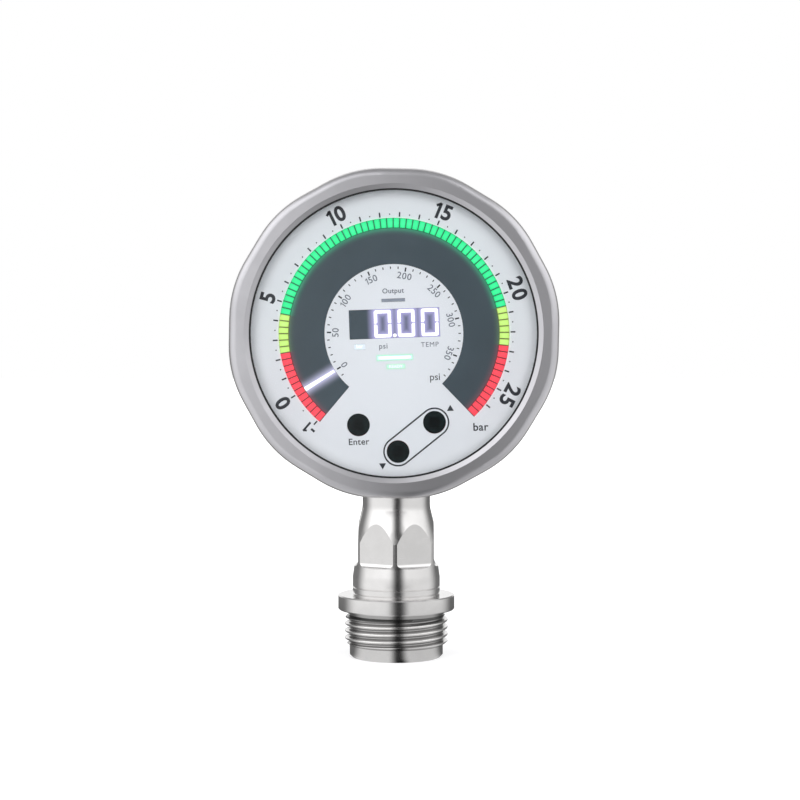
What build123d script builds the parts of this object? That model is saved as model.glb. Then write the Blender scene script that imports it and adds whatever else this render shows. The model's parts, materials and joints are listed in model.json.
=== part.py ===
from build123d import *

import os
from math import asin, cos, degrees, radians, sin, tan

# Electronic pressure gauge for hygienic piping, in millimetres.
# Origin: on the stem's axis at the stem's bottom face. +Z up, the dial faces -Y.
# Head pieces are drawn in a dial frame: X to the right, Y up, Z towards the viewer,
# with its origin where the dial's axis crosses the stem's axis.

# Fits and clearances
running_gap = 0.05          # shaft and bore that turn on each other
thread_gap = 0.1            # screwed fits that carry no modelled thread
drop_in_gap = 0.1           # pieces dropped into a pocket or window
turning_gap = 0.3           # faces of pieces that turn past each other

# Stem: one turned and milled piece with a G 1 pipe thread
pilot_radius = 15.05
pilot_length = 3.9
pilot_chamfer = 0.9
thread_radius = 16.62
thread_lead_in = 1.2
thread_end_height = 12.6
relief_radius = 15.3
collar_radius = 18.75
collar_seat_height = 15.4
collar_thickness = 4.8
collar_chamfer = 0.35
body_radius = 14.05
body_straight_length = 5.7
body_top_radius = 13.56
ledge_rise = 9.3            # above the collar
mark_groove_width = 0.5
mark_groove_depth = 0.25
mark_groove_rises = (0.6, 2.5)
hexagon_width = 24.2
hexagon_runout = 1.7
hexagon_corner_trim = 0.37
flats_length = 7.9          # from the ledge to where the cone meets the corners
cone_length = 6.2           # from there to where it leaves the flats
neck_step = 1.2             # neck inside the flats
neck_blend = 7.5
neck_length = 9.1           # above the flats

# Swivel between the stem and the case
spigot_radius = 8.5
spigot_end = 2.0            # above the retaining ring
spigot_flat_depth = 1.0
wire_bore_radius = 5.0
bush_wall = 1.4
bush_length = 5.3
swivel_seal_section = 0.7
swivel_seal_drop = 1.8      # seal centre below the boss's floor
groove_play = 0.2           # a seal groove is this much wider than its seal
stop_ring_width = 0.9
stop_ring_thickness = 1.2
stop_lug_step = 2.9         # its tip outside the spigot
stop_lug_width = 1.2
stop_pin_radius = 0.9
stop_pin_step = 2.1         # its axis outside the spigot
stop_pin_rise = 0.8         # above the stop ring
stop_pin_floor = 0.4        # above the bush
clip_thickness = 1.0
clip_groove_depth = 0.9
clip_width = 1.7
clip_opening = 5.0

# Measuring cell in the stem's foot
clamp_ring_radius = 12.6
clamp_ring_length = 4.0
port_radius = 9.0
port_flare = 1.0
spanner_hole_radius = 0.7
spanner_hole_depth = 1.6
cell_seal_section = 0.9
cell_seal_circle = 10.3
cell_radius = 11.4
cell_thickness = 6.5
cell_edge = 0.3
board_bore_radius = 9.2
board_bore_length = 8.0
cell_board_radius = 8.6
cell_board_thickness = 1.2
cell_pin_radius = 0.4
cell_pin_circle = 5.5
cell_pin_length = 2.2
cell_pin_count = 4
cell_cable_radius = 1.8
cell_plug_radius = 3.6
cell_plug_length = 5.0

# Case
case_overhang = 4.45        # the bezel's flats stand out this far over the drum
case_wall = 2.5
case_back = 24.0
case_front = 14.0
case_front_wall = 2.0
case_edge_radius = 4.0
boss_radius = 13.7
boss_chamfer = 1.0
boss_reach = 5.1            # from the neck's top to the drum's lowest line
boss_floor_rise = 1.7       # above the lowest line inside the drum
head_spigot_step = 3.5      # drum to spigot
head_spigot_wall = 3.0
head_spigot_front = 22.0
head_seal_section = 0.85
head_seal_front = 17.4
head_clip_front = 21.1
head_clip_groove_depth = 0.9
head_clip_width = 2.1
head_clip_opening = 12.0
head_stop_pin_radius = 0.8
head_stop_pin_step = 2.3    # its axis outside the spigot
head_stop_pin_length = 4.0
head_stop_pin_reach = 2.0
head_stop_land_angle = 9.0  # part of the ring left solid as the dial's end stop

# Electrical connector and vent on the case's back
connector_drop = 22.0       # below the dial's axis
connector_pad_radius = 11.0
connector_pad_rise = 1.0
connector_hole_radius = 6.8
connector_flange_radius = 9.0
connector_flange_thickness = 3.0
connector_thread_radius = 6.0
connector_thread_length = 11.0
connector_cavity_radius = 4.3
connector_cavity_depth = 8.5
connector_key_width = 1.2
connector_key_depth = 0.8
connector_key_sink = 0.45   # its middle inside the cavity's wall
connector_bevel = 0.5
connector_seal_section = 0.6
connector_nut_radius = 9.5
connector_nut_thickness = 2.5
connector_tail = 1.5        # inside the case, past the nut
contact_radius = 0.5
contact_circle = 2.5
contact_count = 4
contact_recess = 1.5
vent_height = 20.0          # above the dial's axis
vent_radius = 4.0
vent_rise = 1.6
vent_stem_radius = 2.6
vent_hole_radius = 0.6
vent_hole_count = 6
vent_edge = 0.4
vent_hole_share = 0.55      # of the cap's radius

# Boards
board_thickness = 1.6
power_board_margin = 2.0    # inside the spigot's bore
power_board_back = 7.6
post_radius = 3.2
post_inset = 5.0            # inside the board's edge
post_count = 3
screw_radius = 1.5
screw_head_radius = 2.7
screw_head_height = 1.8
screw_grip = 5.0
hex_socket_width = 2.0
socket_block_width = 12.0
socket_block_height = 6.0
socket_block_front = 4.0    # how far the block stands past the stem's axis
led_board_margin = 0.5      # inside the frame's edge
spacer_radius = 2.5
spacer_length = 6.4
spacer_inset = 4.65         # inside the light ring
spacer_first_angle = 30.0
head_screw_grip = 2.0
processor_board_margin = 6.0    # outside the spacers
processor_chip = (12.0, 12.0, 1.6)
processor_chip_place = (-10.0, 12.0)
memory_chip = (8.0, 5.0, 1.2)
memory_chip_place = (12.0, -12.0)
head_cable_radius = 2.0
head_plug_radius = 4.0
head_plug_length = 2.5
head_socket_radius = 5.0
head_socket_depth = 3.0

# Bezel, glass and dial
bezel_flat_count = 12
bezel_flat_radius = 50.95
bezel_corner_radius = 36.0
bezel_front = 30.0
bezel_back = 14.5
bezel_edge_radius = 2.4
bezel_wall = 3.35           # round its thread
bezel_shoulder = 0.9        # thread to the bore that holds the glass
bezel_lip_width = 2.04
bezel_lip_rise = 0.6        # its bevel ends this far inside the bore
bezel_lip_land = 0.3
bezel_back_edge = 0.4
bezel_lip_thickness = 1.1
bezel_thread_front = 22.6
bezel_turn_angle = -1.15    # anticlockwise seen from the front
gasket_reach = 0.56         # seen inside the bezel's lip
gasket_thickness = 0.5
gasket_wall = 0.4           # round the glass
gasket_back_lip = 0.2       # between the glass and the dial
glass_thickness = 2.8
glass_edge = 0.3
dial_thickness = 1.0
dial_turn_angle = 2.05      # the dial is set this far anticlockwise in the case
head_ring_step = 1.6        # its inner ledge outside the spigot

# Light ring, pointer window, display and touch fields
segment_count = 83
segment_angle = 3.3217
segment_gap = 0.32
segment_margin = 0.02       # round each diffuser in its pocket
band_start_angle = 227.8    # on the upright dial
band_width = 3.02
band_rim = 0.12
diffuser_thickness = 1.2
window_width = 11.15        # pointer window, inside the light ring
warning_count = 12          # red segments at each end
caution_count = 6           # yellow segments next to them
pointer_angle = 210.0
pointer_inset = 0.4         # from the window's inner edge
pointer_inner_width = 0.8
pointer_outer_width = 1.3
frame_flange_thickness = 2.0
frame_depth = 4.0
frame_margin = 1.0          # inside the case's front opening
frame_wall = 3.33           # outside the light ring
display_width = 28.1
display_height = 9.1
display_rise = 3.15
display_shift = 0.3
module_width = 31.0
module_height = 12.0
digit_count = 4
digit_pitch = 7.3
digit_width = 5.3
digit_height = 8.5
digit_stroke = 1.0
digit_corner = 0.6
digit_gap = 0.34            # between the upper and lower bars
digit_corner_gap = 0.1
digit_thickness = 0.15
point_radius = 0.55
point_place = 1.5           # counted in digit places from the left
touch_radius = 3.56
touch_channel_radius = 2.2
touch_shares = ((-0.3364, -0.7822), (0.3252, -0.7822), (0.0, -1.0261))     # of band_radius
emitter_size = (3.0, 2.0, 1.5)
led_size = (1.2, 0.7, 0.6)
lamp_reach = 0.05           # lamps stop this far behind the dial's face
lamp_root = 1.0             # and start this far inside the frame
output_lamp_place = (0.2, 10.35)
output_lamp_size = (7.3, 1.05)
ready_lamp_place = (0.0, -7.4)
ready_lamp_size = (10.8, 1.4)
ready_label_place = (0.25, -10.2)
ready_label_size = (5.4, 1.1)
unit_label_place = (-10.75, -3.75)
unit_label_size = (3.6, 1.8)

# Places that follow from the sizes above
collar_top = collar_seat_height + collar_thickness
ledge_height = collar_top + ledge_rise
cone_corner_height = ledge_height + flats_length
cone_flat_height = cone_corner_height + cone_length
neck_top_height = cone_flat_height + neck_length
neck_radius = hexagon_width / 2 - neck_step
boss_bottom = neck_top_height + turning_gap
case_radius = bezel_flat_radius - case_overhang
case_inner_radius = case_radius - case_wall
dial_height = neck_top_height + boss_reach + case_radius
boss_floor_height = dial_height - case_inner_radius + boss_floor_rise
swivel_seal_height = boss_floor_height - swivel_seal_drop
head_spigot_radius = case_radius - head_spigot_step
head_spigot_bore = head_spigot_radius - head_spigot_wall
head_stop_pin_circle = head_spigot_radius + head_stop_pin_step
head_ring_bore = head_spigot_radius + head_ring_step
case_floor = -(case_back - case_wall)
cell_bottom = clamp_ring_length + 2 * cell_seal_section
cell_top = cell_bottom + cell_thickness
cell_board_bottom = cell_top + cell_pin_length
stop_ring_bottom = boss_floor_height + turning_gap
stop_lug_reach = spigot_radius + stop_lug_step
stop_pin_circle = spigot_radius + stop_pin_step
clip_bottom = stop_ring_bottom + stop_ring_thickness
spigot_top_height = clip_bottom + clip_thickness + spigot_end
cell_plug_top = spigot_top_height + cell_plug_length
power_board_radius = head_spigot_bore - power_board_margin
post_circle = power_board_radius - post_inset
power_board_front = power_board_back - board_thickness
pad_face = case_back + connector_pad_rise
connector_flange_face = -pad_face - connector_flange_thickness
connector_mouth = connector_flange_face - connector_thread_length
connector_inner_end = case_floor + connector_nut_thickness + connector_tail
bezel_thread_radius = bezel_flat_radius - bezel_wall
bezel_bore = bezel_thread_radius - bezel_shoulder
bezel_lip_radius = bezel_bore - bezel_lip_width
bezel_lip_outer_radius = bezel_bore - bezel_lip_rise
gasket_radius = bezel_lip_radius - gasket_reach
stack_radius = bezel_bore - drop_in_gap
glass_radius = stack_radius - gasket_wall
gasket_front = bezel_front - bezel_lip_thickness
glass_front = gasket_front - gasket_thickness
glass_back = glass_front - glass_thickness
dial_front = glass_back - gasket_back_lip
frame_front = dial_front - dial_thickness
frame_flange_back = frame_front - frame_flange_thickness
frame_back = frame_front - frame_depth
led_board_back = frame_back - board_thickness
processor_board_front = led_board_back - spacer_length
processor_board_back = processor_board_front - board_thickness
head_ring_back = case_front + turning_gap
head_clip_back = head_clip_front - clip_thickness - drop_in_gap / 2
head_ring_floor = head_clip_back - turning_gap
head_plug_back = -(power_board_front - head_socket_depth - turning_gap)
lamp_front = dial_front - lamp_reach
frame_radius = head_spigot_bore - frame_margin
band_radius = frame_radius - frame_wall
band_inner_radius = band_radius - band_width
band_end_angle = band_start_angle - segment_count * segment_angle
window_radius = band_inner_radius - window_width
pointer_inner_radius = window_radius + pointer_inset
led_board_radius = frame_radius - led_board_margin
spacer_circle = band_inner_radius - spacer_inset
touch_places = [(x * band_radius, y * band_radius) for x, y in touch_shares]
processor_board_radius = spacer_circle + processor_board_margin

dial_frame = Plane(origin=(0, 0, dial_height), x_dir=(1, 0, 0), z_dir=(0, -1, 0))


def turned(points, blends=()):
    """Revolve a closed (radius, height) outline about Z, with (radius, height, blend) corners rounded."""
    outline = Polygon(*points, align=None)
    for r, z, blend in blends:
        outline = fillet(outline.vertices().sort_by_distance((r, z, 0))[0], blend)
    return revolve(Plane.XZ * outline, Axis.Z, 360)


def tube(outer, inner, bottom, top):
    """Plain ring about Z between two heights."""
    return turned([(inner, bottom), (outer, bottom), (outer, top), (inner, top)])


def rod(radius, bottom, top):
    """Plain cylinder on Z between two heights."""
    return Pos(0, 0, bottom) * Cylinder(radius, top - bottom, align=(Align.CENTER, Align.CENTER, Align.MIN))


def seal_ring(circle, section, height):
    """Round-section sealing ring about Z."""
    return Pos(0, 0, height) * Torus(circle, section)


def retaining_ring(inner, width, bottom, thickness, opening):
    """Flat ring with an opening and two eyelets beside it, as pliers need."""
    ring = Circle(inner + width) - Circle(inner)
    gap = Pos(inner + width / 2, 0) * Rectangle(3 * width, opening)
    ring = ring - gap
    ear = width / 2
    for side in (-1, 1):
        turn = side * degrees(asin((opening / 2 + ear) / inner))
        place = Rot(0, 0, turn) * Pos(inner + width / 2, 0)
        ring = ring + place * Circle(ear) - place * Circle(ear * 0.4)
    return Pos(0, 0, bottom) * extrude(ring, thickness)


def block(size, place, back):
    """Rectangular block on the dial, from a back plane towards the viewer."""
    width, height, depth = size
    return Pos(place[0], place[1], back) * Box(width, height, depth,
                                               align=(Align.CENTER, Align.CENTER, Align.MIN))


def ring_sector(inner, outer, start, end):
    """Flat C-shape between two radii, from one angle anticlockwise to another, in degrees."""
    def at(radius, angle):
        return (radius * cos(radians(angle)), radius * sin(radians(angle)))

    middle = (start + end) / 2
    outer_arc = ThreePointArc(at(outer, start), at(outer, middle), at(outer, end))
    inner_arc = ThreePointArc(at(inner, end), at(inner, middle), at(inner, start))
    sides = [Line(at(outer, end), at(inner, end)), Line(at(inner, start), at(outer, start))]
    return make_face([outer_arc, sides[0], inner_arc, sides[1]])


def on_circle(radius, count, first=90.0):
    """Evenly spaced places on a circle about Z."""
    step = 360 / count
    return [(radius * cos(radians(first + k * step)), radius * sin(radians(first + k * step)))
            for k in range(count)]


def in_case(shape):
    """Move a shape from the dial frame to the part's frame."""
    return dial_frame.location * shape


def on_dial(shape, turn=dial_turn_angle):
    """Move a shape that turns with the dial to the part's frame."""
    return dial_frame.location * Rot(0, 0, turn) * shape


def stem_outline():
    """Outside of the stem, from the foot up, as (radius, height)."""
    corner_radius = hexagon_width / 2 / cos(radians(30)) - hexagon_corner_trim
    cone_slope = (corner_radius - hexagon_width / 2) / (cone_flat_height - cone_corner_height)
    cone_end = cone_flat_height + (hexagon_width / 2 - neck_radius) / cone_slope
    lead_in_top = pilot_length + thread_lead_in
    groove_edge = thread_end_height + (thread_radius - relief_radius)
    points = [
        (0, 0),
        (pilot_radius - pilot_chamfer, 0),
        (pilot_radius, pilot_chamfer),
        (pilot_radius, pilot_length),
        (thread_radius, lead_in_top),
        (thread_radius, thread_end_height),
        (relief_radius, groove_edge),
        (relief_radius, collar_seat_height),
        (collar_radius - collar_chamfer, collar_seat_height),
        (collar_radius, collar_seat_height + collar_chamfer),
        (collar_radius, collar_top - collar_chamfer),
        (collar_radius - collar_chamfer, collar_top),
        (body_radius, collar_top),
    ]
    for rise in mark_groove_rises:
        middle = collar_top + rise
        points += [
            (body_radius, middle - mark_groove_width / 2),
            (body_radius - mark_groove_depth, middle),
            (body_radius, middle + mark_groove_width / 2),
        ]
    points += [
        (body_radius, collar_top + body_straight_length),
        (body_top_radius, ledge_height),
        (corner_radius, ledge_height),
        (corner_radius, cone_corner_height),
        (neck_radius, cone_end),
        (neck_radius, neck_top_height),
        (spigot_radius, neck_top_height),
        (spigot_radius, spigot_top_height),
        (0, spigot_top_height),
    ]
    return points, (neck_radius, cone_end, neck_blend)


def process_connection():
    points, blend = stem_outline()
    stem = turned(points, [blend])

    # Spanner flats, one corner to the front, running out in a radius above the ledge.
    hexagon = RegularPolygon(hexagon_width / 2, 6, major_radius=False, rotation=30)
    reach = collar_radius + 1
    keep = rod(reach, -1, ledge_height) + Pos(0, 0, ledge_height) * extrude(hexagon, spigot_top_height)
    foot = keep.edges().filter_by_position(Axis.Z, ledge_height - 0.01, ledge_height + 0.01)
    keep = fillet(foot.filter_by(GeomType.LINE), hexagon_runout)
    stem = stem & keep

    # Grooves for the swivel's seal and its retaining ring, and the stop ring's flat.
    seal_depth = 2 * swivel_seal_section
    seal_half_width = swivel_seal_section + groove_play / 2
    stem -= tube(spigot_radius + 1, spigot_radius - seal_depth,
                 swivel_seal_height - seal_half_width, swivel_seal_height + seal_half_width)
    stem -= tube(spigot_radius + 1, spigot_radius - clip_groove_depth,
                 clip_bottom, clip_bottom + clip_thickness + drop_in_gap)
    flat = Box(2 * spigot_radius, spigot_flat_depth, spigot_top_height,
               align=(Align.CENTER, Align.MAX, Align.MIN))
    stem -= Pos(0, spigot_radius, boss_floor_height) * flat

    # Bores, from the foot up: clamp ring, cell, cell board, wires.
    bore = rod(clamp_ring_radius + thread_gap, -1, clamp_ring_length)
    bore += rod(cell_radius + drop_in_gap, clamp_ring_length, cell_top)
    bore += rod(board_bore_radius, cell_top, cell_top + board_bore_length)
    cone_rise = board_bore_radius - wire_bore_radius
    bore += turned([(0, cell_top + board_bore_length), (board_bore_radius, cell_top + board_bore_length),
                    (wire_bore_radius, cell_top + board_bore_length + cone_rise),
                    (0, cell_top + board_bore_length + cone_rise)])
    bore += rod(wire_bore_radius, cell_top + board_bore_length, spigot_top_height + 1)
    return stem - bore


def cell_clamp_ring():
    ring = turned([(port_radius + port_flare, 0), (clamp_ring_radius, 0),
                   (clamp_ring_radius, clamp_ring_length), (port_radius, clamp_ring_length),
                   (port_radius, port_flare)])
    for x, y in on_circle((port_radius + port_flare + clamp_ring_radius) / 2, 2, 0):
        ring -= Pos(x, y, 0) * rod(spanner_hole_radius, -1, spanner_hole_depth)
    return ring


def cell_seal():
    return seal_ring(cell_seal_circle, cell_seal_section, clamp_ring_length + cell_seal_section)


def measuring_cell():
    rim = cell_radius - cell_edge
    return turned([(0, cell_bottom), (rim, cell_bottom), (cell_radius, cell_bottom + cell_edge),
                   (cell_radius, cell_top - cell_edge), (rim, cell_top), (0, cell_top)])


def cell_pins():
    return Compound(children=[Pos(x, y, 0) * rod(cell_pin_radius, cell_top, cell_board_bottom)
                              for x, y in on_circle(cell_pin_circle, cell_pin_count, 45)])


def cell_board():
    return rod(cell_board_radius, cell_board_bottom, cell_board_bottom + cell_board_thickness)


def cell_cable():
    return rod(cell_cable_radius, cell_board_bottom + cell_board_thickness, spigot_top_height)


def cell_plug():
    return rod(cell_plug_radius, spigot_top_height, cell_plug_top)


def swivel_seal():
    return seal_ring(spigot_radius - swivel_seal_section, swivel_seal_section, swivel_seal_height)


def swivel_bush():
    return tube(spigot_radius + running_gap + bush_wall, spigot_radius + running_gap,
                boss_bottom, boss_bottom + bush_length)


def stop_ring():
    inner = spigot_radius + running_gap
    outline = Circle(inner + stop_ring_width)
    outline += Pos(0, stop_lug_reach / 2) * Rectangle(stop_lug_width, stop_lug_reach)
    hole = Circle(inner) - Pos(0, inner) * Rectangle(3 * inner, 2 * spigot_flat_depth)
    return Pos(0, 0, stop_ring_bottom) * extrude(outline - hole, stop_ring_thickness)


def swivel_clip():
    inner = spigot_radius - clip_groove_depth + running_gap
    return retaining_ring(inner, clip_width, clip_bottom, clip_thickness, clip_opening)


def stop_pin():
    bottom = boss_bottom + bush_length + stop_pin_floor
    top = stop_ring_bottom + stop_ring_thickness + stop_pin_rise
    return Pos(0, -stop_pin_circle, 0) * rod(stop_pin_radius, bottom, top)


def case_shell():
    outside = turned([(0, -case_back), (case_radius, -case_back), (case_radius, case_front),
                      (0, case_front)],
                     [(case_radius, -case_back, case_edge_radius)])
    outside += rod(head_spigot_radius, 0, head_spigot_front)
    outside += Pos(0, -connector_drop, 0) * rod(connector_pad_radius, -pad_face, -case_back + 1)
    inside = turned([(0, case_floor), (case_inner_radius, case_floor),
                     (case_inner_radius, case_front - case_front_wall), (0, case_front - case_front_wall)],
                    [(case_inner_radius, case_floor, case_edge_radius - case_wall)])
    inside += rod(head_spigot_bore, 0, head_spigot_front + 1)

    # Round boss that turns on the stem.
    boss = turned([(0, boss_bottom), (boss_radius - boss_chamfer, boss_bottom),
                   (boss_radius, boss_bottom + boss_chamfer), (boss_radius, boss_floor_height),
                   (0, boss_floor_height)])
    shell = in_case(outside) + boss - in_case(inside)
    spot_face = stop_lug_reach + turning_gap
    shell -= rod(spot_face, boss_floor_height, boss_floor_height + 2 * case_wall)
    shell -= rod(spigot_radius + running_gap, boss_bottom - 1, boss_floor_height + 1)
    shell -= rod(spigot_radius + running_gap + bush_wall, boss_bottom - 1, boss_bottom + bush_length)
    shell -= stop_pin()

    # Posts for the power board.
    for x, y in on_circle(post_circle, post_count):
        post = rod(post_radius, case_floor - 1, -power_board_back)
        hole = rod(screw_radius, -power_board_back - screw_grip, -power_board_back + 1)
        shell += in_case(Pos(x, y, 0) * post)
        shell -= in_case(Pos(x, y, 0) * hole)

    # Seal and retaining ring grooves on the spigot that carries the dial head.
    seal_depth = 2 * head_seal_section
    grooves = tube(head_spigot_radius + 1, head_spigot_radius - seal_depth,
                   head_seal_front - 2 * head_seal_section - groove_play, head_seal_front)
    grooves += tube(head_spigot_radius + 1, head_spigot_radius - head_clip_groove_depth,
                    head_clip_front - clip_thickness - drop_in_gap, head_clip_front)
    shell -= in_case(grooves)

    # Holes for the dial's stop pin, the connector and the vent.
    shell -= in_case(Pos(0, head_stop_pin_circle, 0) * rod(
        head_stop_pin_radius, case_front + head_stop_pin_reach - head_stop_pin_length, case_front + 1))
    connector_hole = rod(connector_hole_radius, -pad_face - 1, case_floor + 1)
    vent_hole = rod(vent_stem_radius, -case_back - 1, case_floor + 1)
    shell -= in_case(Pos(0, -connector_drop, 0) * connector_hole)
    shell -= in_case(Pos(0, vent_height, 0) * vent_hole)
    return shell


def connector_shell():
    thread = connector_thread_radius
    flange = connector_flange_radius
    shell = turned([
        (0, connector_inner_end), (thread, connector_inner_end), (thread, -pad_face), (flange, -pad_face),
        (flange, connector_flange_face + connector_bevel),
        (flange - connector_bevel, connector_flange_face), (thread, connector_flange_face),
        (thread, connector_mouth + connector_bevel), (thread - connector_bevel, connector_mouth),
        (0, connector_mouth)])
    hexagon = RegularPolygon(flange * cos(radians(30)), 6, major_radius=False)
    flats = Pos(0, 0, connector_flange_face - 1) * extrude(hexagon, connector_flange_thickness + 1)
    shell = shell & (rod(thread, connector_mouth - 1, connector_inner_end + 1) + flats)
    shell -= rod(connector_cavity_radius, connector_mouth - 1, connector_inner_end + 1)
    return Pos(0, -connector_drop, 0) * shell


def connector_insert():
    insert = rod(connector_cavity_radius, connector_mouth + connector_cavity_depth, connector_inner_end)
    key = block((connector_key_width, connector_key_depth, connector_cavity_depth - contact_recess),
                (0, connector_cavity_radius - connector_key_sink), connector_mouth + contact_recess)
    insert += key & rod(connector_cavity_radius, connector_mouth, connector_inner_end)
    for x, y in on_circle(contact_circle, contact_count, 45):
        insert -= Pos(x, y, 0) * rod(contact_radius, connector_mouth, connector_inner_end + 1)
    return Pos(0, -connector_drop, 0) * insert


def connector_contacts():
    contacts = []
    for x, y in on_circle(contact_circle, contact_count, 45):
        contact = rod(contact_radius, connector_mouth + contact_recess, -power_board_back)
        tip = contact.faces().sort_by(Axis.Z)[0].edges()
        contacts.append(Pos(x, y - connector_drop, 0) * chamfer(tip, contact_radius / 2))
    return Compound(children=contacts)


def connector_seal():
    return Pos(0, -connector_drop, 0) * tube(connector_hole_radius, connector_thread_radius,
                                             -pad_face, -pad_face + 2 * connector_seal_section)


def connector_nut():
    hexagon = RegularPolygon(connector_nut_radius, 6) - Circle(connector_thread_radius + running_gap)
    return Pos(0, -connector_drop, case_floor) * extrude(hexagon, connector_nut_thickness)


def vent_plug():
    face = -case_back - vent_rise
    plug = turned([(0, face), (vent_radius - vent_edge, face), (vent_radius, face + vent_edge),
                   (vent_radius, -case_back), (vent_stem_radius, -case_back),
                   (vent_stem_radius, case_floor), (0, case_floor)])
    for x, y in on_circle(vent_radius * vent_hole_share, vent_hole_count):
        plug -= Pos(x, y, 0) * rod(vent_hole_radius, face - 1, -case_back - vent_edge)
    return Pos(0, vent_height, 0) * plug


def power_board():
    board = rod(power_board_radius, -power_board_back, -power_board_front)
    for x, y in on_circle(post_circle, post_count):
        board -= Pos(x, y, 0) * rod(screw_radius + drop_in_gap, -power_board_back - 1, 0)
    # Room below for the neck's plug and the stem's spigot.
    foot_clear = dial_height - spigot_top_height - 2 * turning_gap
    board -= Pos(0, -power_board_radius - foot_clear, 0) * Box(
        2 * power_board_radius, 2 * power_board_radius, 4 * power_board_back)
    return board


def power_board_screws():
    return Compound(children=[Pos(x, y, -power_board_front) * cap_screw(board_thickness + screw_grip)
                              for x, y in on_circle(post_circle, post_count)])


def cap_screw(length):
    """Socket screw that stands on Z=0 with its head up."""
    screw = rod(screw_head_radius, 0, screw_head_height) + rod(screw_radius, -length, 0)
    socket = Pos(0, 0, screw_head_height / 2) * extrude(
        RegularPolygon(hex_socket_width / 2, 6, major_radius=False), screw_head_height)
    return screw - socket


def cell_socket():
    bottom = cell_plug_top + turning_gap - dial_height
    socket = Pos(0, bottom, -power_board_front) * Box(
        socket_block_width, socket_block_height, power_board_front + socket_block_front,
        align=(Align.CENTER, Align.MIN, Align.MIN))
    return socket


def head_socket():
    return rod(head_socket_radius, -power_board_front, -power_board_front + head_socket_depth)


def head_stop_pin():
    front = case_front + head_stop_pin_reach
    return Pos(0, head_stop_pin_circle, 0) * rod(head_stop_pin_radius, front - head_stop_pin_length, front)


def head_seal():
    return seal_ring(head_spigot_radius - head_seal_section, head_seal_section,
                     head_seal_front - head_seal_section - groove_play / 2)


def head_clip():
    inner = head_spigot_radius - head_clip_groove_depth + running_gap
    return retaining_ring(inner, head_clip_width, head_clip_back, clip_thickness, head_clip_opening)


def head_ring():
    thread = bezel_thread_radius - thread_gap
    bore = head_spigot_radius + running_gap
    ring = turned([(bore, head_ring_back), (thread, head_ring_back), (thread, frame_flange_back),
                   (head_ring_bore, frame_flange_back), (head_ring_bore, head_ring_floor),
                   (bore, head_ring_floor)])
    # Blind groove in the back for the stop pin, with one land left as the end stop.
    wall = head_stop_pin_radius + turning_gap
    groove = ring_sector(head_stop_pin_circle - wall, head_stop_pin_circle + wall,
                         -90 + head_stop_land_angle / 2, 270 - head_stop_land_angle / 2)
    depth = head_stop_pin_reach + turning_gap
    return ring - Pos(0, 0, case_front) * extrude(groove, depth)


def bezel_ring():
    outline = RegularPolygon(bezel_flat_radius, bezel_flat_count, major_radius=False,
                             rotation=180 / bezel_flat_count)
    outline = fillet(outline.vertices(), bezel_corner_radius)
    ring = Pos(0, 0, bezel_back) * extrude(outline, bezel_front - bezel_back)
    front_edges = ring.faces().sort_by(Axis.Z)[-1].edges()
    ring = fillet(front_edges, bezel_edge_radius)
    back_edges = ring.faces().sort_by(Axis.Z)[0].edges()
    ring = chamfer(back_edges, bezel_back_edge)
    chamfer_depth = bezel_lip_thickness - bezel_lip_land
    bore = turned([
        (0, bezel_back - 1), (bezel_thread_radius, bezel_back - 1),
        (bezel_thread_radius, bezel_thread_front), (bezel_bore, bezel_thread_front),
        (bezel_bore, gasket_front), (bezel_lip_radius, gasket_front),
        (bezel_lip_radius, bezel_front - chamfer_depth), (bezel_lip_outer_radius, bezel_front),
        (bezel_lip_outer_radius, bezel_front + 1), (0, bezel_front + 1)])
    return ring - bore


def glass_gasket():
    """U-section that wraps the glass's edge and keeps it off the dial."""
    return turned([(gasket_radius, gasket_front), (gasket_radius, glass_front), (glass_radius, glass_front),
                   (glass_radius, glass_back), (bezel_lip_radius, glass_back),
                   (bezel_lip_radius, dial_front), (stack_radius, dial_front), (stack_radius, gasket_front)])


def front_glass():
    rim = glass_radius - glass_edge
    return turned([(0, glass_back), (rim, glass_back), (glass_radius, glass_back + glass_edge),
                   (glass_radius, glass_front - glass_edge), (rim, glass_front), (0, glass_front)])


def band_sketch(inner, outer, grow=0.0):
    """C-shape on the dial that spans the light ring's sweep, grown by a length at both ends."""
    extra = degrees(grow / outer)
    return ring_sector(inner, outer, band_end_angle - extra, band_start_angle + extra)


def window_sketches():
    """Openings shared by the dial and the light frame, as (place, size)."""
    return [
        (output_lamp_place, output_lamp_size),
        (ready_lamp_place, ready_lamp_size),
        (ready_label_place, ready_label_size),
        (unit_label_place, unit_label_size),
    ]


def dial_plate():
    plate = Circle(stack_radius)
    plate -= band_sketch(window_radius, band_radius + band_rim, band_rim)
    plate -= Pos(display_shift, display_rise) * Rectangle(display_width, display_height)
    for place, size in window_sketches():
        plate -= Pos(*place) * Rectangle(*size)
    for place in touch_places:
        plate -= Pos(*place) * Circle(touch_radius)
    return Pos(0, 0, frame_front) * extrude(plate, dial_thickness)


def segment_sketch(index, margin=0.0):
    """One light segment's outline, shrunk by a margin, between straight radial sides."""
    middle = band_start_angle - (index + 0.5) * segment_angle
    inner = band_inner_radius + band_rim + margin
    outer = band_radius - margin
    half = segment_angle / 2
    side = segment_gap / 2 + margin
    inner_half = inner * tan(radians(half)) - side
    outer_half = outer * tan(radians(half)) - side
    outline = Polygon((inner, -inner_half), (outer, -outer_half), (outer, outer_half),
                      (inner, inner_half), align=None)
    return Rot(0, 0, middle) * outline


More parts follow.
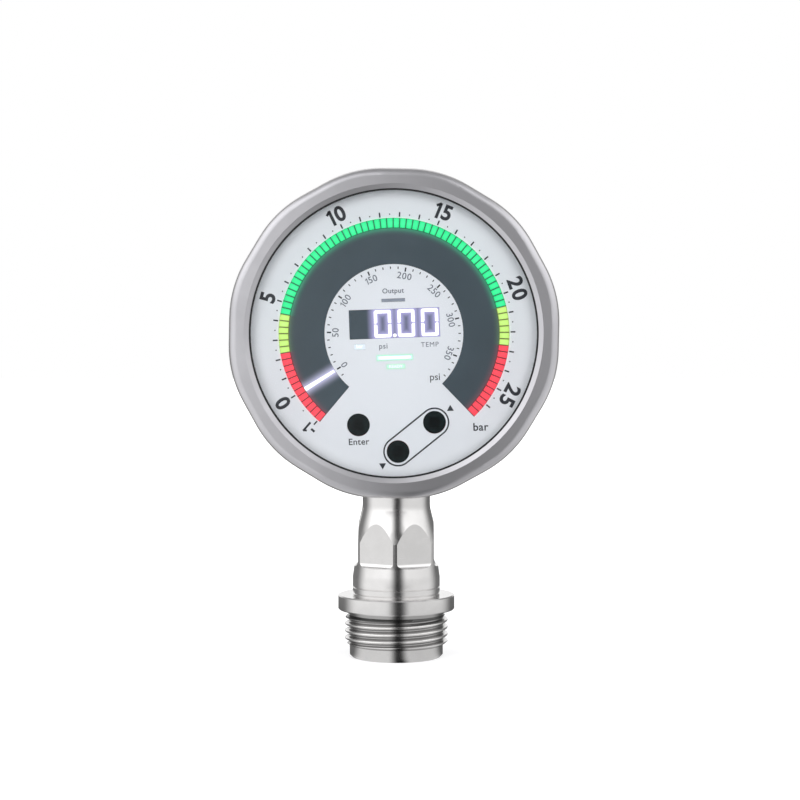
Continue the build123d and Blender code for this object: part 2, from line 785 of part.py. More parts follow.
def light_frame():
    frame = Pos(0, 0, frame_flange_back) * extrude(Circle(stack_radius), frame_flange_thickness)
    frame += rod(frame_radius, frame_back, frame_front)
    band = band_sketch(band_inner_radius, band_radius)
    frame += Pos(0, 0, frame_front) * extrude(band, lamp_front - frame_front)
    openings = Pos(display_shift, display_rise) * Rectangle(module_width + 2 * drop_in_gap,
                                                            module_height + 2 * drop_in_gap)
    for index in range(segment_count):
        openings += segment_sketch(index)
    for place in touch_places:
        openings += Pos(*place) * Circle(touch_channel_radius)
    for place, size in window_sketches()[1:]:
        openings += Pos(*place) * Rectangle(*size)
    frame -= Pos(0, 0, frame_back - 1) * extrude(openings, bezel_front)
    place, size = window_sketches()[0]
    frame -= Pos(*place, frame_front - lamp_root) * extrude(Rectangle(*size), bezel_front)
    for x, y in on_circle(spacer_circle, post_count, spacer_first_angle):
        frame -= Pos(x, y, 0) * rod(screw_radius, frame_back - 1, frame_back + head_screw_grip)
    return frame


def diffusers(indices):
    """Light segments as separate blocks in the frame's pockets."""
    back = lamp_front - diffuser_thickness
    return Compound(children=[
        Pos(0, 0, back) * extrude(segment_sketch(index, segment_margin), diffuser_thickness)
        for index in indices])


def segment_colours():
    """Segment numbers by colour: red at both ends, then yellow, green between."""
    last = segment_count - 1
    red = [k for k in range(segment_count) if min(k, last - k) < warning_count]
    yellow = [k for k in range(segment_count)
              if warning_count <= min(k, last - k) < warning_count + caution_count]
    green = [k for k in range(segment_count) if min(k, last - k) >= warning_count + caution_count]
    return red, yellow, green


def pointer_sketch(margin=0.0):
    """Tapered bar along the pointer's direction, wider outside."""
    outer = band_inner_radius - drop_in_gap
    inner_half = pointer_inner_width / 2 + margin
    outer_half = pointer_outer_width / 2 + margin
    outline = Polygon((pointer_inner_radius, -inner_half), (outer, -outer_half), (outer, outer_half),
                      (pointer_inner_radius, inner_half), align=None)
    return Rot(0, 0, pointer_angle) * outline


def pointer_window():
    window = band_sketch(window_radius + drop_in_gap, band_inner_radius - drop_in_gap)
    window -= pointer_sketch(drop_in_gap / 4)
    return Pos(0, 0, frame_front) * extrude(window, lamp_front - frame_front)


def pointer_light():
    return Pos(0, 0, frame_front) * extrude(pointer_sketch(), lamp_front - frame_front)


def lamp(place, size):
    """Light guide that fills one slot of the dial and starts in the frame behind it."""
    back = frame_front - lamp_root
    width, height = size[0] - drop_in_gap, size[1] - drop_in_gap
    return block((width, height, lamp_front - back), place, back)


def display_module():
    module = block((module_width, module_height, frame_depth - drop_in_gap), (display_shift, display_rise),
                   frame_back)
    face_depth = lamp_front - digit_thickness - frame_back
    module += block((display_width - drop_in_gap, display_height - drop_in_gap, face_depth),
                    (display_shift, display_rise), frame_back)
    return module


def zero_digit():
    """The six lit bars that show a nought, about the digit's centre."""
    hole_width = digit_width - 2 * digit_stroke
    hole_height = digit_height - 2 * digit_stroke
    bars = RectangleRounded(digit_width, digit_height, digit_corner) - Rectangle(hole_width, hole_height)
    bars -= Rectangle(2 * digit_width, digit_gap)
    for x in (-1, 1):
        bars -= Pos(x * hole_width / 2, 0) * Rot(0, 0, 45) * Rectangle(2 * digit_gap, 2 * digit_gap)
        for y in (-1, 1):
            corner = Pos(x * (hole_width + digit_stroke) / 2, y * (hole_height + digit_stroke) / 2)
            bars -= corner * Rot(0, 0, x * y * 45) * Rectangle(2 * digit_stroke, digit_corner_gap)
    return bars


def reading_segments():
    """Reading of 0.00 in the three right-hand places."""
    back = lamp_front - digit_thickness
    middle = (digit_count - 1) / 2
    solids = []
    for place in range(1, digit_count):
        x = display_shift + (place - middle) * digit_pitch
        digit = Pos(x, display_rise, back) * extrude(zero_digit(), digit_thickness)
        solids += digit.solids()
    point_x = display_shift + (point_place - middle) * digit_pitch
    point_y = display_rise - digit_height / 2 + point_radius
    solids.append(Pos(point_x, point_y, 0) * rod(point_radius, back, back + digit_thickness))
    return Compound(children=solids)


def touch_windows():
    window = rod(touch_radius - drop_in_gap, frame_front, lamp_front)
    return Compound(children=[Pos(x, y, 0) * window for x, y in touch_places])


def touch_emitters():
    return Compound(children=[block(emitter_size, place, frame_back) for place in touch_places])


def segment_leds():
    """One light source on the board behind each segment."""
    leds = []
    middle_radius = (band_radius + band_inner_radius) / 2
    for index in range(segment_count):
        angle = band_start_angle - (index + 0.5) * segment_angle
        leds.append(Rot(0, 0, angle) * block(led_size, (middle_radius, 0), frame_back))
    return Compound(children=leds)


def led_board():
    board = rod(led_board_radius, led_board_back, frame_back)
    for x, y in on_circle(spacer_circle, post_count, spacer_first_angle):
        board -= Pos(x, y, 0) * rod(screw_radius + drop_in_gap, led_board_back - 1, frame_back + 1)
    return board


def board_spacers():
    return Compound(children=[
        Pos(x, y, 0) * tube(spacer_radius, screw_radius + drop_in_gap, processor_board_front, led_board_back)
        for x, y in on_circle(spacer_circle, post_count, spacer_first_angle)])


def processor_board():
    board = rod(processor_board_radius, processor_board_back, processor_board_front)
    hole = rod(screw_radius + drop_in_gap, processor_board_back - 1, processor_board_front + 1)
    for x, y in on_circle(spacer_circle, post_count, spacer_first_angle):
        board -= Pos(x, y, 0) * hole
    return board


def processor_chips():
    return Compound(children=[
        block(processor_chip, processor_chip_place, processor_board_front),
        block(memory_chip, memory_chip_place, processor_board_front)])


def head_screws():
    """Screws from behind through the processor board and spacers into the light frame."""
    length = frame_back + head_screw_grip - processor_board_back
    turned_round = Rot(180, 0, 0) * cap_screw(length)
    return Compound(children=[Pos(x, y, processor_board_back) * turned_round
                              for x, y in on_circle(spacer_circle, post_count, spacer_first_angle)])


def head_cable():
    return rod(head_cable_radius, head_plug_back + head_plug_length, processor_board_back)


def head_plug():
    return rod(head_plug_radius, head_plug_back, head_plug_back + head_plug_length)


red_segments, yellow_segments, green_segments = segment_colours()

pieces = {
    "process_connection": process_connection(),
    "cell_clamp_ring": cell_clamp_ring(),
    "cell_seal": cell_seal(),
    "measuring_cell": measuring_cell(),
    "cell_pins": cell_pins(),
    "cell_board": cell_board(),
    "cell_cable": cell_cable(),
    "cell_plug": cell_plug(),
    "swivel_seal": swivel_seal(),
    "swivel_stop_ring": stop_ring(),
    "swivel_clip": swivel_clip(),
    "swivel_bush": swivel_bush(),
    "swivel_stop_pin": stop_pin(),
    "case_shell": case_shell(),
    "connector_shell": in_case(connector_shell()),
    "connector_insert": in_case(connector_insert()),
    "connector_contacts": in_case(connector_contacts()),
    "connector_seal": in_case(connector_seal()),
    "connector_nut": in_case(connector_nut()),
    "vent_plug": in_case(vent_plug()),
    "power_board": in_case(power_board()),
    "power_board_screws": in_case(power_board_screws()),
    "cell_socket": in_case(cell_socket()),
    "head_socket": in_case(head_socket()),
    "dial_stop_pin": in_case(head_stop_pin()),
    "head_seal": in_case(head_seal()),
    "head_clip": in_case(head_clip()),
    "head_ring": on_dial(head_ring()),
    "bezel_ring": on_dial(bezel_ring(), bezel_turn_angle),
    "glass_gasket": on_dial(glass_gasket()),
    "front_glass": on_dial(front_glass()),
    "dial_plate": on_dial(dial_plate()),
    "light_frame": on_dial(light_frame()),
    "red_segments": on_dial(diffusers(red_segments)),
    "yellow_segments": on_dial(diffusers(yellow_segments)),
    "green_segments": on_dial(diffusers(green_segments)),
    "pointer_window": on_dial(pointer_window()),
    "pointer_light": on_dial(pointer_light()),
    "output_lamp": on_dial(lamp(output_lamp_place, output_lamp_size)),
    "ready_lamp": on_dial(lamp(ready_lamp_place, ready_lamp_size)),
    "ready_label_lamp": on_dial(lamp(ready_label_place, ready_label_size)),
    "unit_lamp": on_dial(lamp(unit_label_place, unit_label_size)),
    "display_module": on_dial(display_module()),
    "reading_segments": on_dial(reading_segments()),
    "touch_windows": on_dial(touch_windows()),
    "touch_emitters": on_dial(touch_emitters()),
    "segment_leds": on_dial(segment_leds()),
    "led_board": on_dial(led_board()),
    "board_spacers": on_dial(board_spacers()),
    "processor_board": on_dial(processor_board()),
    "processor_chips": on_dial(processor_chips()),
    "head_screws": on_dial(head_screws()),
    "head_cable": on_dial(head_cable()),
    "head_plug": on_dial(head_plug()),
}

os.makedirs("parts", exist_ok=True)
for name, piece in pieces.items():
    export_step(piece, "parts/" + name + ".step")
print("wrote", len(pieces), "pieces")
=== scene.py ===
import json
import math

import bpy
from mathutils import Matrix, Vector


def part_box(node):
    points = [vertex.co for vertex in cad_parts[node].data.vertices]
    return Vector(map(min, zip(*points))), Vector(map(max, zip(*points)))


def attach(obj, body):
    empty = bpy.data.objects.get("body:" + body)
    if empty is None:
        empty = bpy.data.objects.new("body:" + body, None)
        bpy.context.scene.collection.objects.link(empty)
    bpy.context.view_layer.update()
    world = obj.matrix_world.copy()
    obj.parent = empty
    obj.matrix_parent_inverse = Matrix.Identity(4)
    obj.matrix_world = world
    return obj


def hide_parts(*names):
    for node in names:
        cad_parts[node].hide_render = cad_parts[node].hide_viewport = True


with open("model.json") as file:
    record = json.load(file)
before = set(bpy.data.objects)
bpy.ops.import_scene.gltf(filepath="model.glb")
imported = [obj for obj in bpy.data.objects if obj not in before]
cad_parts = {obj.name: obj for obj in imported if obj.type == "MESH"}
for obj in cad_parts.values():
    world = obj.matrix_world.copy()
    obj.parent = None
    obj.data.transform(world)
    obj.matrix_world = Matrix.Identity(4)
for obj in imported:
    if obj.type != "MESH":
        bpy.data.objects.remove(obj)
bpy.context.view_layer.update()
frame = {"nodes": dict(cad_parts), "record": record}
bpy.ops.object.select_all(action='DESELECT')
print("frame loaded:", len(frame["nodes"]), "nodes")

mm = 0.001
weld = 0.0001 * mm          # points closer than this are one

# Where the dial sits, read from the frame
plateLow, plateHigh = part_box("dial_plate")
dialCentre = Vector((0, 0, (plateLow.z + plateHigh.z) / 2))
dialFace = plateLow.y

# The dial is set a little anticlockwise in the case, as the solids are
dial = {
    "turn": 2.05,           # degrees
    "barZero": 210.0,       # upright angle of 0 bar
    "barStep": 9.6,         # degrees for each bar
    "barMinusOne": 226.65,
    "barTop": 26,
    "psiStep": 0.6619,      # degrees for each psi
    "bandInner": 32.65 * mm,
    "bandOuter": 35.67 * mm,
    "bandStart": 227.8,
    "segmentPitch": 3.3217,
    "segments": 83,
    "redEach": 12,
    "yellowEach": 6,
}


# Shader values written as sums: each operator adds one Math node
class Value:
    def __init__(self, socket):
        self.socket = socket

    def join(self, operation, first, second):
        node = self.socket.id_data.nodes.new('ShaderNodeMath')
        node.operation = operation
        for slot, item in zip(node.inputs, (first, second)):
            if isinstance(item, Value):
                self.socket.id_data.links.new(item.socket, slot)
            else:
                slot.default_value = item
        return Value(node.outputs[0])

    def __add__(self, other):
        return self.join('ADD', self, other)

    def __radd__(self, other):
        return self.join('ADD', other, self)

    def __sub__(self, other):
        return self.join('SUBTRACT', self, other)

    def __rsub__(self, other):
        return self.join('SUBTRACT', other, self)

    def __mul__(self, other):
        return self.join('MULTIPLY', self, other)

    def __rmul__(self, other):
        return self.join('MULTIPLY', other, self)

    def __truediv__(self, other):
        return self.join('DIVIDE', self, other)

    def __pow__(self, other):
        return self.join('POWER', self, other)

    def __gt__(self, other):
        return self.join('GREATER_THAN', self, other)

    def __lt__(self, other):
        return self.join('LESS_THAN', self, other)


# One material, or the world, and its nodes
class Finish:
    def __init__(self, owner, output='ShaderNodeOutputMaterial'):
        self.material = bpy.data.materials.new(owner) if isinstance(owner, str) else owner
        self.material.use_nodes = True
        self.tree = self.material.node_tree
        self.tree.nodes.clear()
        self.output = self.tree.nodes.new(output)

    def add(self, kind, settings=None, sockets=None, take=0):
        node = self.tree.nodes.new(kind)
        for key, item in (settings or {}).items():
            setattr(node, key, item)
        for key, item in (sockets or {}).items():
            if isinstance(item, Value):
                self.tree.links.new(item.socket, node.inputs[key])
            else:
                node.inputs[key].default_value = item
        return Value(node.outputs[take])

    def number(self, operation, *values):
        return self.add('ShaderNodeMath', {"operation": operation}, dict(enumerate(values)))

    def place(self):
        return self.add('ShaderNodeTexCoord', take=3)

    def split(self, vector):
        node = self.tree.nodes.new('ShaderNodeSeparateXYZ')
        self.tree.links.new(vector.socket, node.inputs[0])
        return [Value(output) for output in node.outputs]

    def vector(self, x, y, z):
        return self.add('ShaderNodeCombineXYZ', None, {"X": x, "Y": y, "Z": z})

    def noise(self, vector, scale, detail=2.0, roughness=0.5):
        return self.add('ShaderNodeTexNoise', None, {
            "Vector": vector, "Scale": scale, "Detail": detail, "Roughness": roughness})

    def ramp(self, value, low, high, start=0.0, end=1.0, smooth=True):
        shape = 'SMOOTHSTEP' if smooth else 'LINEAR'
        return self.add('ShaderNodeMapRange', {"interpolation_type": shape, "clamp": True}, {
            "Value": value, "From Min": low, "From Max": high, "To Min": start, "To Max": end})

    def mix(self, factor, first, second, blend='MIX'):
        node = self.tree.nodes.new('ShaderNodeMix')
        node.data_type = 'RGBA'
        node.blend_type = blend
        for slot, item in ((node.inputs[0], factor), (node.inputs[6], first), (node.inputs[7], second)):
            if isinstance(item, Value):
                self.tree.links.new(item.socket, slot)
            elif isinstance(item, tuple):
                slot.default_value = item + (1,)
            else:
                slot.default_value = item
        return Value(node.outputs[2])

    def bump(self, height, strength, distance):
        return self.add('ShaderNodeBump', None, {
            "Height": height, "Strength": strength, "Distance": distance})

    def surface(self, **sockets):
        names = {key: key.replace("_", " ").title().replace("Ior", "IOR") for key in sockets}
        items = {}
        for key, item in sockets.items():
            if isinstance(item, tuple):
                item = item + (1,)
            items[names[key]] = item
        shader = self.add('ShaderNodeBsdfPrincipled', None, items)
        self.tree.links.new(shader.socket, self.output.inputs["Surface"])
        return self.material


# Place on the dial: distance from its axis and upright angle in degrees
def dialPlace(finish):
    x, y, z = finish.split(finish.place())
    up = z - dialCentre.z
    turn = math.radians(dial["turn"])
    across = x * math.cos(turn) + up * math.sin(turn)
    high = up * math.cos(turn) - x * math.sin(turn)
    radius = (across * across + high * high) ** 0.5
    angle = finish.number('ARCTAN2', high, across)
    return across, high, radius, angle * (180 / math.pi)


# How strongly a place is lit by a rounded box on the dial, from 1 on it to 0 away from it
def lampGlow(finish, across, high, lamp, reach):
    aside = finish.number('ABSOLUTE', across - lamp["x"] * mm)
    above = finish.number('ABSOLUTE', high - lamp["y"] * mm)
    aside = finish.number('MAXIMUM', aside - lamp["width"] / 2 * mm, 0.0)
    above = finish.number('MAXIMUM', above - lamp["height"] / 2 * mm, 0.0)
    away = (aside * aside + above * above) ** 0.5
    return finish.ramp(away, 0.0, reach, 1.0, 0.0) ** 2.0


lamps = {
    "ready": {"x": 0.0, "y": -7.4, "width": 10.8, "height": 1.4, "colour": (0.46, 0.93, 0.70)},
    "label": {"x": 0.25, "y": -10.2, "width": 5.4, "height": 1.1, "colour": (0.52, 0.93, 0.70)},
}
lampReach = 0.9 * mm


# Colour of the light ring by its angle, and the angle from the ring's middle
def zoneColour(finish, angle, red, yellow, green):
    middle = dial["bandStart"] - dial["segments"] * dial["segmentPitch"] / 2
    half = dial["segments"] * dial["segmentPitch"] / 2
    # Angles from ARCTAN2 run from -180 to 180, so they are counted from the ring's middle first
    away = angle - middle
    away = finish.number('WRAP', away, 180.0, -180.0)
    away = finish.number('ABSOLUTE', away)
    redFrom = half - dial["redEach"] * dial["segmentPitch"]
    yellowFrom = redFrom - dial["yellowEach"] * dial["segmentPitch"]
    colour = finish.mix(away > yellowFrom, green, yellow)
    return finish.mix(away > redFrom, colour, red), away


stemLook = {
    "colour": (0.78, 0.77, 0.765),
    "worn": (0.81, 0.80, 0.795),
    "roughness": 0.15,
    "ringPitch": 0.16 * mm,
    "ringDepth": 0.0005 * mm,
    "flatHalf": 12.1 * mm,  # spanner flats, and the heights between which they are milled
    "flatLow": 31.0 * mm,
    "flatHigh": 43.8 * mm,
    # painted shade on the spanner flats
    "flatPaintedShade": 0.88,
    "rootRadius": 15.3 * mm,    # thread roots and the undercut below the collar get a painted shade
    "crestRadius": 16.3 * mm,
    "threadLow": 3.9 * mm,
    "threadHigh": 15.3 * mm,
    "rootPaintedShade": 0.55,
    "undercut": 13.4 * mm,
    "undercutHalf": 0.6 * mm,
    "undercutPaintedShade": 0.12,
}


def turnedSteel():
    look = stemLook
    finish = Finish("turnedSteel")
    x, y, z = finish.split(finish.place())
    ring = finish.noise(finish.vector(0.0, 0.0, z), 1 / look["ringPitch"], 3.0, 0.6)
    mottle = finish.noise(finish.place(), 220.0, 4.0, 0.6)
    rough = finish.ramp(ring, 0.3, 0.7, look["roughness"] - 0.03, look["roughness"] + 0.04) + mottle * 0.05
    colour = finish.mix(finish.ramp(mottle, 0.35, 0.65), look["colour"], look["worn"])
    # The spanner flats are milled, so they are rougher; their colour is also darkened by a painted shade
    across = finish.number('ABSOLUTE', x)
    for turn in (-60, 60):
        side = x * math.cos(math.radians(turn)) + y * math.sin(math.radians(turn))
        across = finish.number('MAXIMUM', across, finish.number('ABSOLUTE', side))
    flat = (across > look["flatHalf"] - 0.03 * mm) * (z > look["flatLow"]) * (z < look["flatHigh"])
    colour = finish.mix(flat, colour, finish.mix(1.0, colour, (look["flatPaintedShade"],) * 3, 'MULTIPLY'))
    rough = rough + flat * 0.06
    radius = (x * x + y * y) ** 0.5
    # Painted shade: the thread roots are darkened by radius, where shade falls in the grooves
    root = finish.ramp(radius, look["rootRadius"], look["crestRadius"], 1.0, 0.0)
    root = root * (z > look["threadLow"]) * (z < look["threadHigh"])
    colour = finish.mix(root, colour, finish.mix(1.0, colour, (look["rootPaintedShade"],) * 3, 'MULTIPLY'))
    # Painted shade: a dark band on the relief just below the collar, where the collar shades it
    off = finish.number('ABSOLUTE', z - look["undercut"])
    under = finish.ramp(off, 0.5 * look["undercutHalf"], look["undercutHalf"], 1.0, 0.0)
    under = under * (radius < look["crestRadius"])
    colour = finish.mix(under, colour, (look["undercutPaintedShade"],) * 3)
    normal = finish.bump(ring, 0.6, look["ringDepth"])
    return finish.surface(base_color=colour, metallic=1.0, roughness=rough, normal=normal)


def satinSteel(name, colour, roughness):
    finish = Finish(name)
    x, y, z = finish.split(finish.place())
    up = z - dialCentre.z
    radius = (x * x + up * up) ** 0.5
    # Fine lines left by turning, which run round the dial's axis
    lines = finish.noise(finish.vector(radius, y, 0.0), 10000.0, 3.0, 0.65)
    grain = finish.noise(finish.place(), 2600.0, 3.0, 0.7)
    cloud = finish.noise(finish.place(), 70.0, 3.0, 0.55)
    rough = roughness + (lines - 0.5) * 0.12 + (cloud - 0.5) * 0.1
    shade = finish.mix(finish.ramp(cloud, 0.3, 0.7), colour, tuple(c * 0.92 for c in colour))
    normal = finish.bump(lines * 0.6 + grain * 0.4, 0.5, 0.004 * mm)
    return finish.surface(base_color=shade, metallic=1.0, roughness=rough, normal=normal)


bezelLook = {
    "ground": (0.63, 0.625, 0.655),
    "polished": (0.80, 0.79, 0.80),     # the rounding outside the ground face
    "roughness": 0.38,
    "edgeRoughness": 0.28,
    "crown": 0.1,                       # slope of the ground face
    "edgeFrom": 0.3 * mm,               # behind the front face
    "edgeTo": 1.2 * mm,
    "edgeInside": 47.0 * mm,
}


def groundBezel():
    look = bezelLook
    finish = Finish("groundBezel")
    x, y, z = finish.split(finish.place())
    up = z - dialCentre.z
    radius = (x * x + up * up) ** 0.5
    lines = finish.noise(finish.vector(radius, y, 0.0), 11000.0, 3.0, 0.65)
    grain = finish.noise(finish.place(), 2600.0, 3.0, 0.7)
    cloud = finish.noise(finish.place(), 70.0, 3.0, 0.55)
    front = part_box("bezel_ring")[0].y
    edge = finish.ramp(y, front + look["edgeFrom"], front + look["edgeTo"])
    edge = edge * (radius > look["edgeInside"])
    darker = tuple(c * 0.92 for c in look["ground"])
    ground = finish.mix(finish.ramp(cloud, 0.3, 0.7), look["ground"], darker)
    shade = finish.mix(edge, ground, look["polished"])
    rough = look["roughness"] + (lines - 0.5) * 0.12 + (cloud - 0.5) * 0.1
    rough = rough - edge * (look["roughness"] - look["edgeRoughness"])
    # The ground face leans outwards a little all round
    height = (lines * 0.35 + grain * 0.65) * 0.002 * mm
    normal = finish.bump(height - radius * look["crown"], 1.0, 1.0)
    return finish.surface(base_color=shade, metallic=1.0, roughness=rough, normal=normal)


def plainSteel(name, colour, roughness):
    finish = Finish(name)
    grain = finish.noise(finish.place(), 1500.0, 3.0, 0.6)
    rough = roughness + (grain - 0.5) * 0.15
    shade = finish.mix(grain, colour, tuple(c * 0.85 for c in colour))
    return finish.surface(base_color=shade, metallic=1.0, roughness=rough,
                          normal=finish.bump(grain, 0.15, 0.002 * mm))


def mouldedPlastic(name, colour, roughness, grain=1800.0, depth=0.004):
    finish = Finish(name)
    fine = finish.noise(finish.place(), grain, 4.0, 0.6)
    cloud = finish.noise(finish.place(), 120.0, 2.0)
    shade = finish.mix(finish.ramp(cloud, 0.3, 0.7), colour, tuple(c * 0.88 for c in colour))
    rough = roughness + (fine - 0.5) * 0.12
    return finish.surface(base_color=shade, roughness=rough, normal=finish.bump(fine, 0.4, depth * mm))


def circuitBoard():
    finish = Finish("circuitBoard")
    x, y, z = finish.split(finish.place())
    tracks = finish.add('ShaderNodeTexBrick', {"offset": 0.5}, {
        "Vector": finish.vector(x, z, y), "Scale": 330.0, "Color1": (0.015, 0.16, 0.07, 1),
        "Color2": (0.012, 0.13, 0.055, 1), "Mortar": (0.03, 0.24, 0.11, 1), "Mortar Size": 0.03})
    fine = finish.noise(finish.place(), 1200.0, 3.0)
    return finish.surface(base_color=tracks, roughness=0.35 + fine * 0.1,
                          normal=finish.bump(fine, 0.2, 0.01 * mm))


dialLook = {
    "colour": (0.80, 0.835, 0.88),
    "rimPaintedLight": (0.88, 0.915, 0.96),      # painted light: lighter near the rim, where the bezel's lip shades it
    "rimFrom": 37.5 * mm,
    "rimTo": 43.5 * mm,
    "spillReach": 0.9 * mm,
}


def printedDial():
    look = dialLook
    finish = Finish("printedDial")
    across, high, radius, angle = dialPlace(finish)
    fine = finish.noise(finish.place(), 900.0, 3.0, 0.6)
    # Painted light: the dial is made lighter towards its rim, against the shade of the bezel's lip
    rim = finish.ramp(radius, look["rimFrom"], look["rimTo"])
    colour = finish.mix(rim, look["colour"], look["rimPaintedLight"])
    # Painted light: the lamps' glow is mixed into the print's colour next to them
    for lamp in lamps.values():
        near = lampGlow(finish, across, high, lamp, lampReach)
        colour = finish.mix(near * 0.6, colour, lamp["colour"])
    # A little of the ring's light spills over the print outside it
    zone, away = zoneColour(finish, angle, (0.5, 0.05, 0.07), (0.3, 0.4, 0.08), (0.03, 0.45, 0.16))
    spill = finish.ramp(radius, dial["bandOuter"], dial["bandOuter"] + look["spillReach"], 0.3, 0.0)
    beside = (radius > dial["bandOuter"] - 0.2 * mm) * (away < dial["segments"] * dial["segmentPitch"] / 2)
    glow = finish.mix(spill * beside, (0.0, 0.0, 0.0), zone)
    return finish.surface(base_color=colour, roughness=0.42 + fine * 0.08, emission_color=glow,
                          emission_strength=1.0, normal=finish.bump(fine, 0.15, 0.004 * mm))


def litSegments(name, bright, deep):
    finish = Finish(name)
    across, high, radius, angle = dialPlace(finish)
    # Brightest over the light source in the middle of each block
    zone, away = zoneColour(finish, angle, (1.0, 1.0, 1.0), (1.0, 1.0, 1.0), (1.0, 1.0, 1.0))
    start = dial["segments"] * dial["segmentPitch"] / 2
    step = finish.number('FRACT', (away + start) / dial["segmentPitch"])
    side = finish.number('ABSOLUTE', step - 0.5)
    middle = (dial["bandInner"] + dial["bandOuter"]) / 2
    off = finish.number('ABSOLUTE', radius - middle)
    core = finish.ramp(side, 0.05, 0.5, 1.0, 0.25) * finish.ramp(off, 0.0, 1.6 * mm, 1.0, 0.35)
    cell = finish.noise(finish.place(), 260.0, 2.0)
    core = core * finish.ramp(cell, 0.3, 0.7, 0.55, 1.0)
    glow = finish.mix(core, deep, bright)
    return finish.surface(base_color=tuple(c * 0.4 for c in deep), roughness=0.4,
                          emission_color=glow, emission_strength=1.0)


def lightFrame():
    finish = Finish("lightFrame")
    across, high, radius, angle = dialPlace(finish)
    zone, away = zoneColour(finish, angle, (0.17, 0.012, 0.018), (0.12, 0.17, 0.03), (0.003, 0.12, 0.045))
    band = (radius > dial["bandInner"] - 0.5 * mm) * (radius < dial["bandOuter"] + 0.5 * mm)
    glow = finish.mix(band, (0.0, 0.0, 0.0), zone)
    fine = finish.noise(finish.place(), 1500.0, 3.0)
    return finish.surface(base_color=(0.02, 0.022, 0.025), roughness=0.5, emission_color=glow,
                          emission_strength=1.0, normal=finish.bump(fine, 0.3, 0.005 * mm))


smokeColour = (0.062, 0.088, 0.108)
pointerLook = {
    "angle": 210.0,
    "halo": (0.70, 0.67, 0.97),
    "haloCore": 0.3 * mm,
    "haloReach": 3.6 * mm,
    "haloFrom": 8.0 * mm,       # along its line, where the halo is full
    "haloShare": 0.9,
}
windowLook = {
    "edgeReach": 2.4 * mm,      # how far the ring's light spreads into the window
    "roughness": 0.32,
}


def smokedWindow():
    finish = Finish("smokedWindow")
    across, high, radius, angle = dialPlace(finish)
    zone, away = zoneColour(finish, angle, (0.14, 0.014, 0.022), (0.05, 0.10, 0.02), (0.002, 0.26, 0.11))
    edge = dial["bandInner"]
    near = finish.ramp(radius, edge - windowLook["edgeReach"], edge, 0.0, 1.0, False) ** 2.4
    # Halo of the lit pointer, by distance from its line
    look = pointerLook
    turn = math.radians(look["angle"])
    along = across * math.cos(turn) + high * math.sin(turn)
    aside = finish.number('ABSOLUTE', high * math.cos(turn) - across * math.sin(turn))
    ahead = finish.ramp(along, 0.0, look["haloFrom"])
    halo = finish.ramp(aside, look["haloCore"], look["haloReach"], 1.0, 0.0, False) ** 2.2 * ahead
    cloud = finish.noise(finish.place(), 60.0, 3.0)
    colour = finish.mix(finish.ramp(cloud, 0.35, 0.65), smokeColour, tuple(c * 0.93 for c in smokeColour))
    glow = finish.mix(near, (0.0, 0.0, 0.0), zone)
    glow = finish.mix(halo * look["haloShare"], glow, look["halo"])
    return finish.surface(base_color=colour, roughness=windowLook["roughness"], emission_color=glow,
                          emission_strength=1.0)


display = {
    "firstX": -10.65 * mm,
    "y": 3.15 * mm,
    "pitch": 7.3 * mm,
    "digitWidth": 5.3 * mm,
    "digitHeight": 8.5 * mm,
    "stroke": 1.0 * mm,
    "reach": 2.4 * mm,
    "halo": (0.40, 0.36, 0.68),
}


def displayFace():
    look = display
    finish = Finish("displayFace")
    across, high, radius, angle = dialPlace(finish)
    # Distance from the strokes of the nearest lit digit; the left-hand place is dark
    place = finish.number('ROUND', (across - look["firstX"]) / look["pitch"])
    place = finish.number('MAXIMUM', place, 1.0)
    aside = finish.number('ABSOLUTE', across - look["firstX"] - place * look["pitch"])
    above = finish.number('ABSOLUTE', high - look["y"])
    sideways = aside - (look["digitWidth"] - look["stroke"]) / 2
    upwards = above - (look["digitHeight"] - look["stroke"]) / 2
    outX = finish.number('MAXIMUM', sideways, 0.0)
    outY = finish.number('MAXIMUM', upwards, 0.0)
    inside = finish.number('MINIMUM', finish.number('MAXIMUM', sideways, upwards), 0.0)
    away = finish.number('ABSOLUTE', (outX * outX + outY * outY) ** 0.5 + inside)
    near = finish.ramp(away - look["stroke"] / 2, 0.0, look["reach"], 1.0, 0.0, False) ** 1.3
    glow = finish.mix(near, (0.0, 0.0, 0.0), look["halo"])
    fine = finish.noise(finish.place(), 700.0, 2.0)
    return finish.surface(base_color=smokeColour, roughness=0.3 + fine * 0.06, emission_color=glow,
                          emission_strength=1.0)


def litGuide(name, colour, strength=1.0):
    finish = Finish(name)
    fine = finish.noise(finish.place(), 500.0, 2.0)
    glow = finish.mix(finish.ramp(fine, 0.3, 0.7), colour, tuple(min(1.0, c * 1.08) for c in colour))
    return finish.surface(base_color=tuple(c * 0.5 for c in colour), roughness=0.4,
                          emission_color=glow, emission_strength=strength)


def readyBar():
    lamp = lamps["ready"]
    finish = Finish("readyBar")
    across, high, radius, angle = dialPlace(finish)
    above = finish.number('ABSOLUTE', high - lamp["y"] * mm)
    aside = finish.number('ABSOLUTE', across - lamp["x"] * mm)
    wave = finish.noise(finish.place(), 420.0, 2.0)
    edge = finish.ramp(above + (wave - 0.5) * 0.4 * mm, 0.15 * mm, 0.6 * mm, 1.0, 0.0)
    edge = edge * finish.ramp(aside, 4.4 * mm, 5.3 * mm, 1.0, 0.0)
    glow = finish.mix(edge, lamp["colour"], (0.96, 1.0, 0.98))
    return finish.surface(base_color=(0.3, 0.5, 0.4), roughness=0.4, emission_color=glow,
                          emission_strength=1.0)


